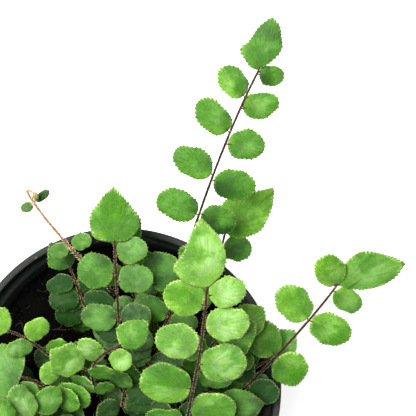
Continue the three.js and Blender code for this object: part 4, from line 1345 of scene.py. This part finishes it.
def finish(name, look, *inputs):
    """A material whose shader is fed with what look makes."""
    material = bpy.data.materials.new(name)
    material.use_nodes = True
    material.node_tree.nodes.clear()
    nodes = Nodes(material.node_tree)
    shader = nodes.make("ShaderNodeBsdfPrincipled")
    nodes.make("ShaderNodeOutputMaterial", {"Surface": shader.outputs[0]})
    nodes.feed(shader.inputs, look(nodes, *inputs))
    return material


def leaf_look(nodes, leaf_skin, greens):
    feeds = dict(zip(("Reach", "East", "North", "Under"), nodes.channels("skin")))
    feeds.update(zip(("Age", "Along", "Tooth", "Own"), nodes.channels("tone")))
    skin = nodes.use(leaf_skin, Place=nodes.object_place(), **feeds, **greens).outputs
    return {
        "Base Color": skin["Color"], "Roughness": skin["Roughness"], "Specular IOR Level": 0.2,
        "Normal": nodes.bump(skin["Height"], 0.5, 0.0003),
    }


def stalk_look(nodes, patches, specks):
    """Dark polished brown, redder towards the tip, and pale orange brown where it is young."""
    part, own, young, bud = nodes.channels("tone")
    place = nodes.object_place()
    mask = nodes.mask(patches, place, Scale=420.0)
    tan = nodes.coats((0.11, 0.04, 0.022), ((0.62, 0.28, 0.13), nodes.ramp(part, 0.4, 0.8)))
    brown = nodes.coats(
        (0.012, 0.0095, 0.007),
        ((0.04, 0.015, 0.009), nodes.ramp(part, 0.2, 1.0)),
        (tan, young),
        ((0.12, 0.07, 0.04), mask, 0.1),
        ((0.4, 0.26, 0.12), nodes.mask(specks, place, Scale=1500.0, Share=0.25), 0.12),
        ((0.24, 0.27, 0.06), bud),
    )
    return {
        "Base Color": brown, "Roughness": nodes.plus(mask, 0.2, 0.45), "Specular IOR Level": 0.2,
        "Normal": nodes.bump(nodes.noise(place, 1800.0), 0.35, 0.0002),
    }


def scale_look(nodes):
    """Tan, orange at the leaflets' stubs, paler where young, and dark near the soil."""
    low, own, young, flank = nodes.channels("tone")
    tan = nodes.coats(
        (0.42, 0.31, 0.18),
        ((0.82, 0.68, 0.44), own),
        ((0.46, 0.38, 0.25), nodes.noise(nodes.object_place(), 900.0, 2.0)),
        ((0.7, 0.3, 0.1), nodes.plus(flank, -0.8, 0.8)),
        ((0.9, 0.76, 0.56), young, 0.7),
        ((0.1, 0.08, 0.055), nodes.ramp(low, 0.0, 0.3, 0.6, 0.0)),
    )
    return {"Base Color": tan, "Roughness": 0.55}


def peat_look(nodes, patches, specks):
    """Near black peat: brown patches, a film of moss, a few pale grains, and a coarse matt relief."""
    place = nodes.object_place()
    patch = nodes.mask(patches, place, Scale=160.0)
    brown = nodes.coats(
        (0.001, 0.0013, 0.0011),
        ((0.0034, 0.0032, 0.0024), patch),
        ((0.0018, 0.0019, 0.0016), nodes.noise(place, 1200.0, 4.0)),
        ((0.0035, 0.0085, 0.0022), nodes.ramp(nodes.noise(place, 70.0, 4.0), 0.55, 0.68), 0.7),
        ((0.1, 0.07, 0.05), nodes.mask(specks, place, Scale=900.0, Share=0.07), 0.4),
    )
    return {
        "Base Color": brown, "Roughness": nodes.plus(patch, 0.12, 0.82), "Specular IOR Level": 0.03,
        "Normal": nodes.bump(nodes.noise(place, 900.0, 6.0, 0.7), 0.9, 0.0008),
    }


def perlite_look(nodes):
    place = nodes.object_place()
    white = nodes.coats((0.5, 0.47, 0.41), ((0.82, 0.8, 0.75), nodes.noise(place, 1500.0, 4.0)))
    relief = nodes.bump(nodes.noise(place, 2500.0, 4.0), 0.7, 0.0003)
    return {"Base Color": white, "Roughness": 0.9, "Normal": relief}


def fibre_look(nodes):
    brown = nodes.coats(
        (0.006, 0.005, 0.004),
        ((0.045, 0.034, 0.022), nodes.channels("tone")[0]),
        ((0.022, 0.016, 0.01), nodes.noise(nodes.object_place(), 1300.0)),
    )
    return {"Base Color": brown, "Roughness": 0.8}


def pot_look(nodes, patches, specks):
    """Matt black plastic, painted lighter towards the rim as if lit there: a moulded grain, rings of scuffs,
    a veil of dust, and specks.
    """
    place = nodes.object_place()
    veil = nodes.mask(patches, place, Scale=38.0)
    squashed = nodes.make("ShaderNodeMapping", {"Vector": place, "Scale": (0.12, 0.12, 3.2)}).outputs[0]
    scuffs = nodes.noise(squashed, 520.0, 4.0, 0.7)
    grain = nodes.noise(place, 2200.0)
    # painted light: the pot is paler from 70 mm up to the rim, and its grain shows more there
    lit_rim = nodes.ramp(nodes.make("ShaderNodeSeparateXYZ", {0: place}).outputs[2], 0.07, 0.087)
    rim = nodes.coats((0.024, 0.0249, 0.0246), ((0.043, 0.0441, 0.0435), veil))
    black = nodes.coats(
        (0.011, 0.0114, 0.0113),
        ((0.02, 0.0205, 0.0203), veil),
        (rim, lit_rim),
        ((0.07, 0.07, 0.07), nodes.ramp(grain, 0.4, 0.7, 0.0, 0.6), nodes.plus(lit_rim, 0.6, 0.4)),
        ((0.08, 0.08, 0.08), nodes.ramp(scuffs, 0.6, 0.78), 0.2),
        ((0.3, 0.28, 0.25), nodes.mask(specks, place, Scale=430.0, Share=0.1), 0.35),
    )
    return {
        "Base Color": black, "Roughness": nodes.plus(scuffs, 0.12, nodes.plus(veil, 0.14, 0.6)),
        "Specular IOR Level": 0.16, "Normal": nodes.bump(nodes.plus(scuffs, 0.5, grain), 0.18, 0.0002),
    }


def make_finishes():
    patches, specks = patch_group(), speck_group()
    leaf_skin = leaf_skin_group(patches)
    greens = dict(
        Old=(0.012, 0.056, 0.007), Middle=(0.079, 0.265, 0.012), New=(0.225, 0.525, 0.034),
        BloomAndSheen=(0.52, 0.76, 0.36), Margin=(0.46, 0.6, 0.1), Back=(0.15, 0.5, 0.05),
    )
    young_greens = dict(
        Old=(0.04, 0.1, 0.02), Middle=(0.07, 0.2, 0.03), New=(0.13, 0.34, 0.04),
        BloomAndSheen=(0.3, 0.5, 0.18), Margin=(0.3, 0.36, 0.1), Back=(0.2, 0.3, 0.1),
    )
    return dict(
        leaf=finish("fern_green", leaf_look, leaf_skin, greens),
        young_leaf=finish("young_green", leaf_look, leaf_skin, young_greens),
        stalk=finish("wiry_stalk", stalk_look, patches, specks),
        scales=finish("tan_scales", scale_look),
        peat=finish("peat", peat_look, patches, specks),
        perlite=finish("perlite", perlite_look),
        fibre=finish("peat_fibre", fibre_look),
        pot=finish("black_plastic", pot_look, patches, specks),
    )


# ---------------------------------------------------------------- stage

def floor_look(nodes):
    return {
        "Base Color": (0.86, 0.86, 0.86), "Roughness": 0.9,
        "Emission Color": (1, 1, 1), "Emission Strength": FLOOR_GLOW,
    }


def make_floor():
    corners = [(x * FLOOR_REACH, y * FLOOR_REACH, 0) for x, y in ((-1, -1), (1, -1), (1, 1), (-1, 1))]
    mesh = bpy.data.meshes.new("floor")
    mesh.from_pydata(corners, [], [(0, 1, 2, 3)])
    mesh.materials.append(finish("pale_floor", floor_look))
    floor = add_object("floor", mesh)


def make_light():
    light = bpy.data.lights.new("softbox", "AREA")
    light.shape, light.size, light.energy = "SQUARE", SOFTBOX_SIZE, SOFTBOX_POWER
    softbox = add_object("softbox", light)
    softbox.location = SOFTBOX_PLACE
    softbox.rotation_euler = Vector(SOFTBOX_AIM - SOFTBOX_PLACE).to_track_quat("-Z", "Y").to_euler()
    world = bpy.data.worlds.new("soft_room")
    world.use_nodes = True
    background = world.node_tree.nodes["Background"].inputs
    background["Color"].default_value = (1, 1, 1, 1)
    background["Strength"].default_value = ROOM_LIGHT
    bpy.context.scene.world = world
    bpy.context.scene.view_settings.view_transform = "Standard"


def make_camera():
    lens = bpy.data.cameras.new("camera")
    lens.sensor_width, lens.lens, lens.clip_start = SENSOR, LENS, 0.01
    camera = add_object("camera", lens)
    camera.location = np.array(CAMERA_PLACE) * MM
    bpy.context.scene.camera = camera


finishes = make_finishes()
make_floor()
make_light()
make_camera()
make_pot(finishes["pot"])
make_soil(finishes)
make_fronds(finishes)
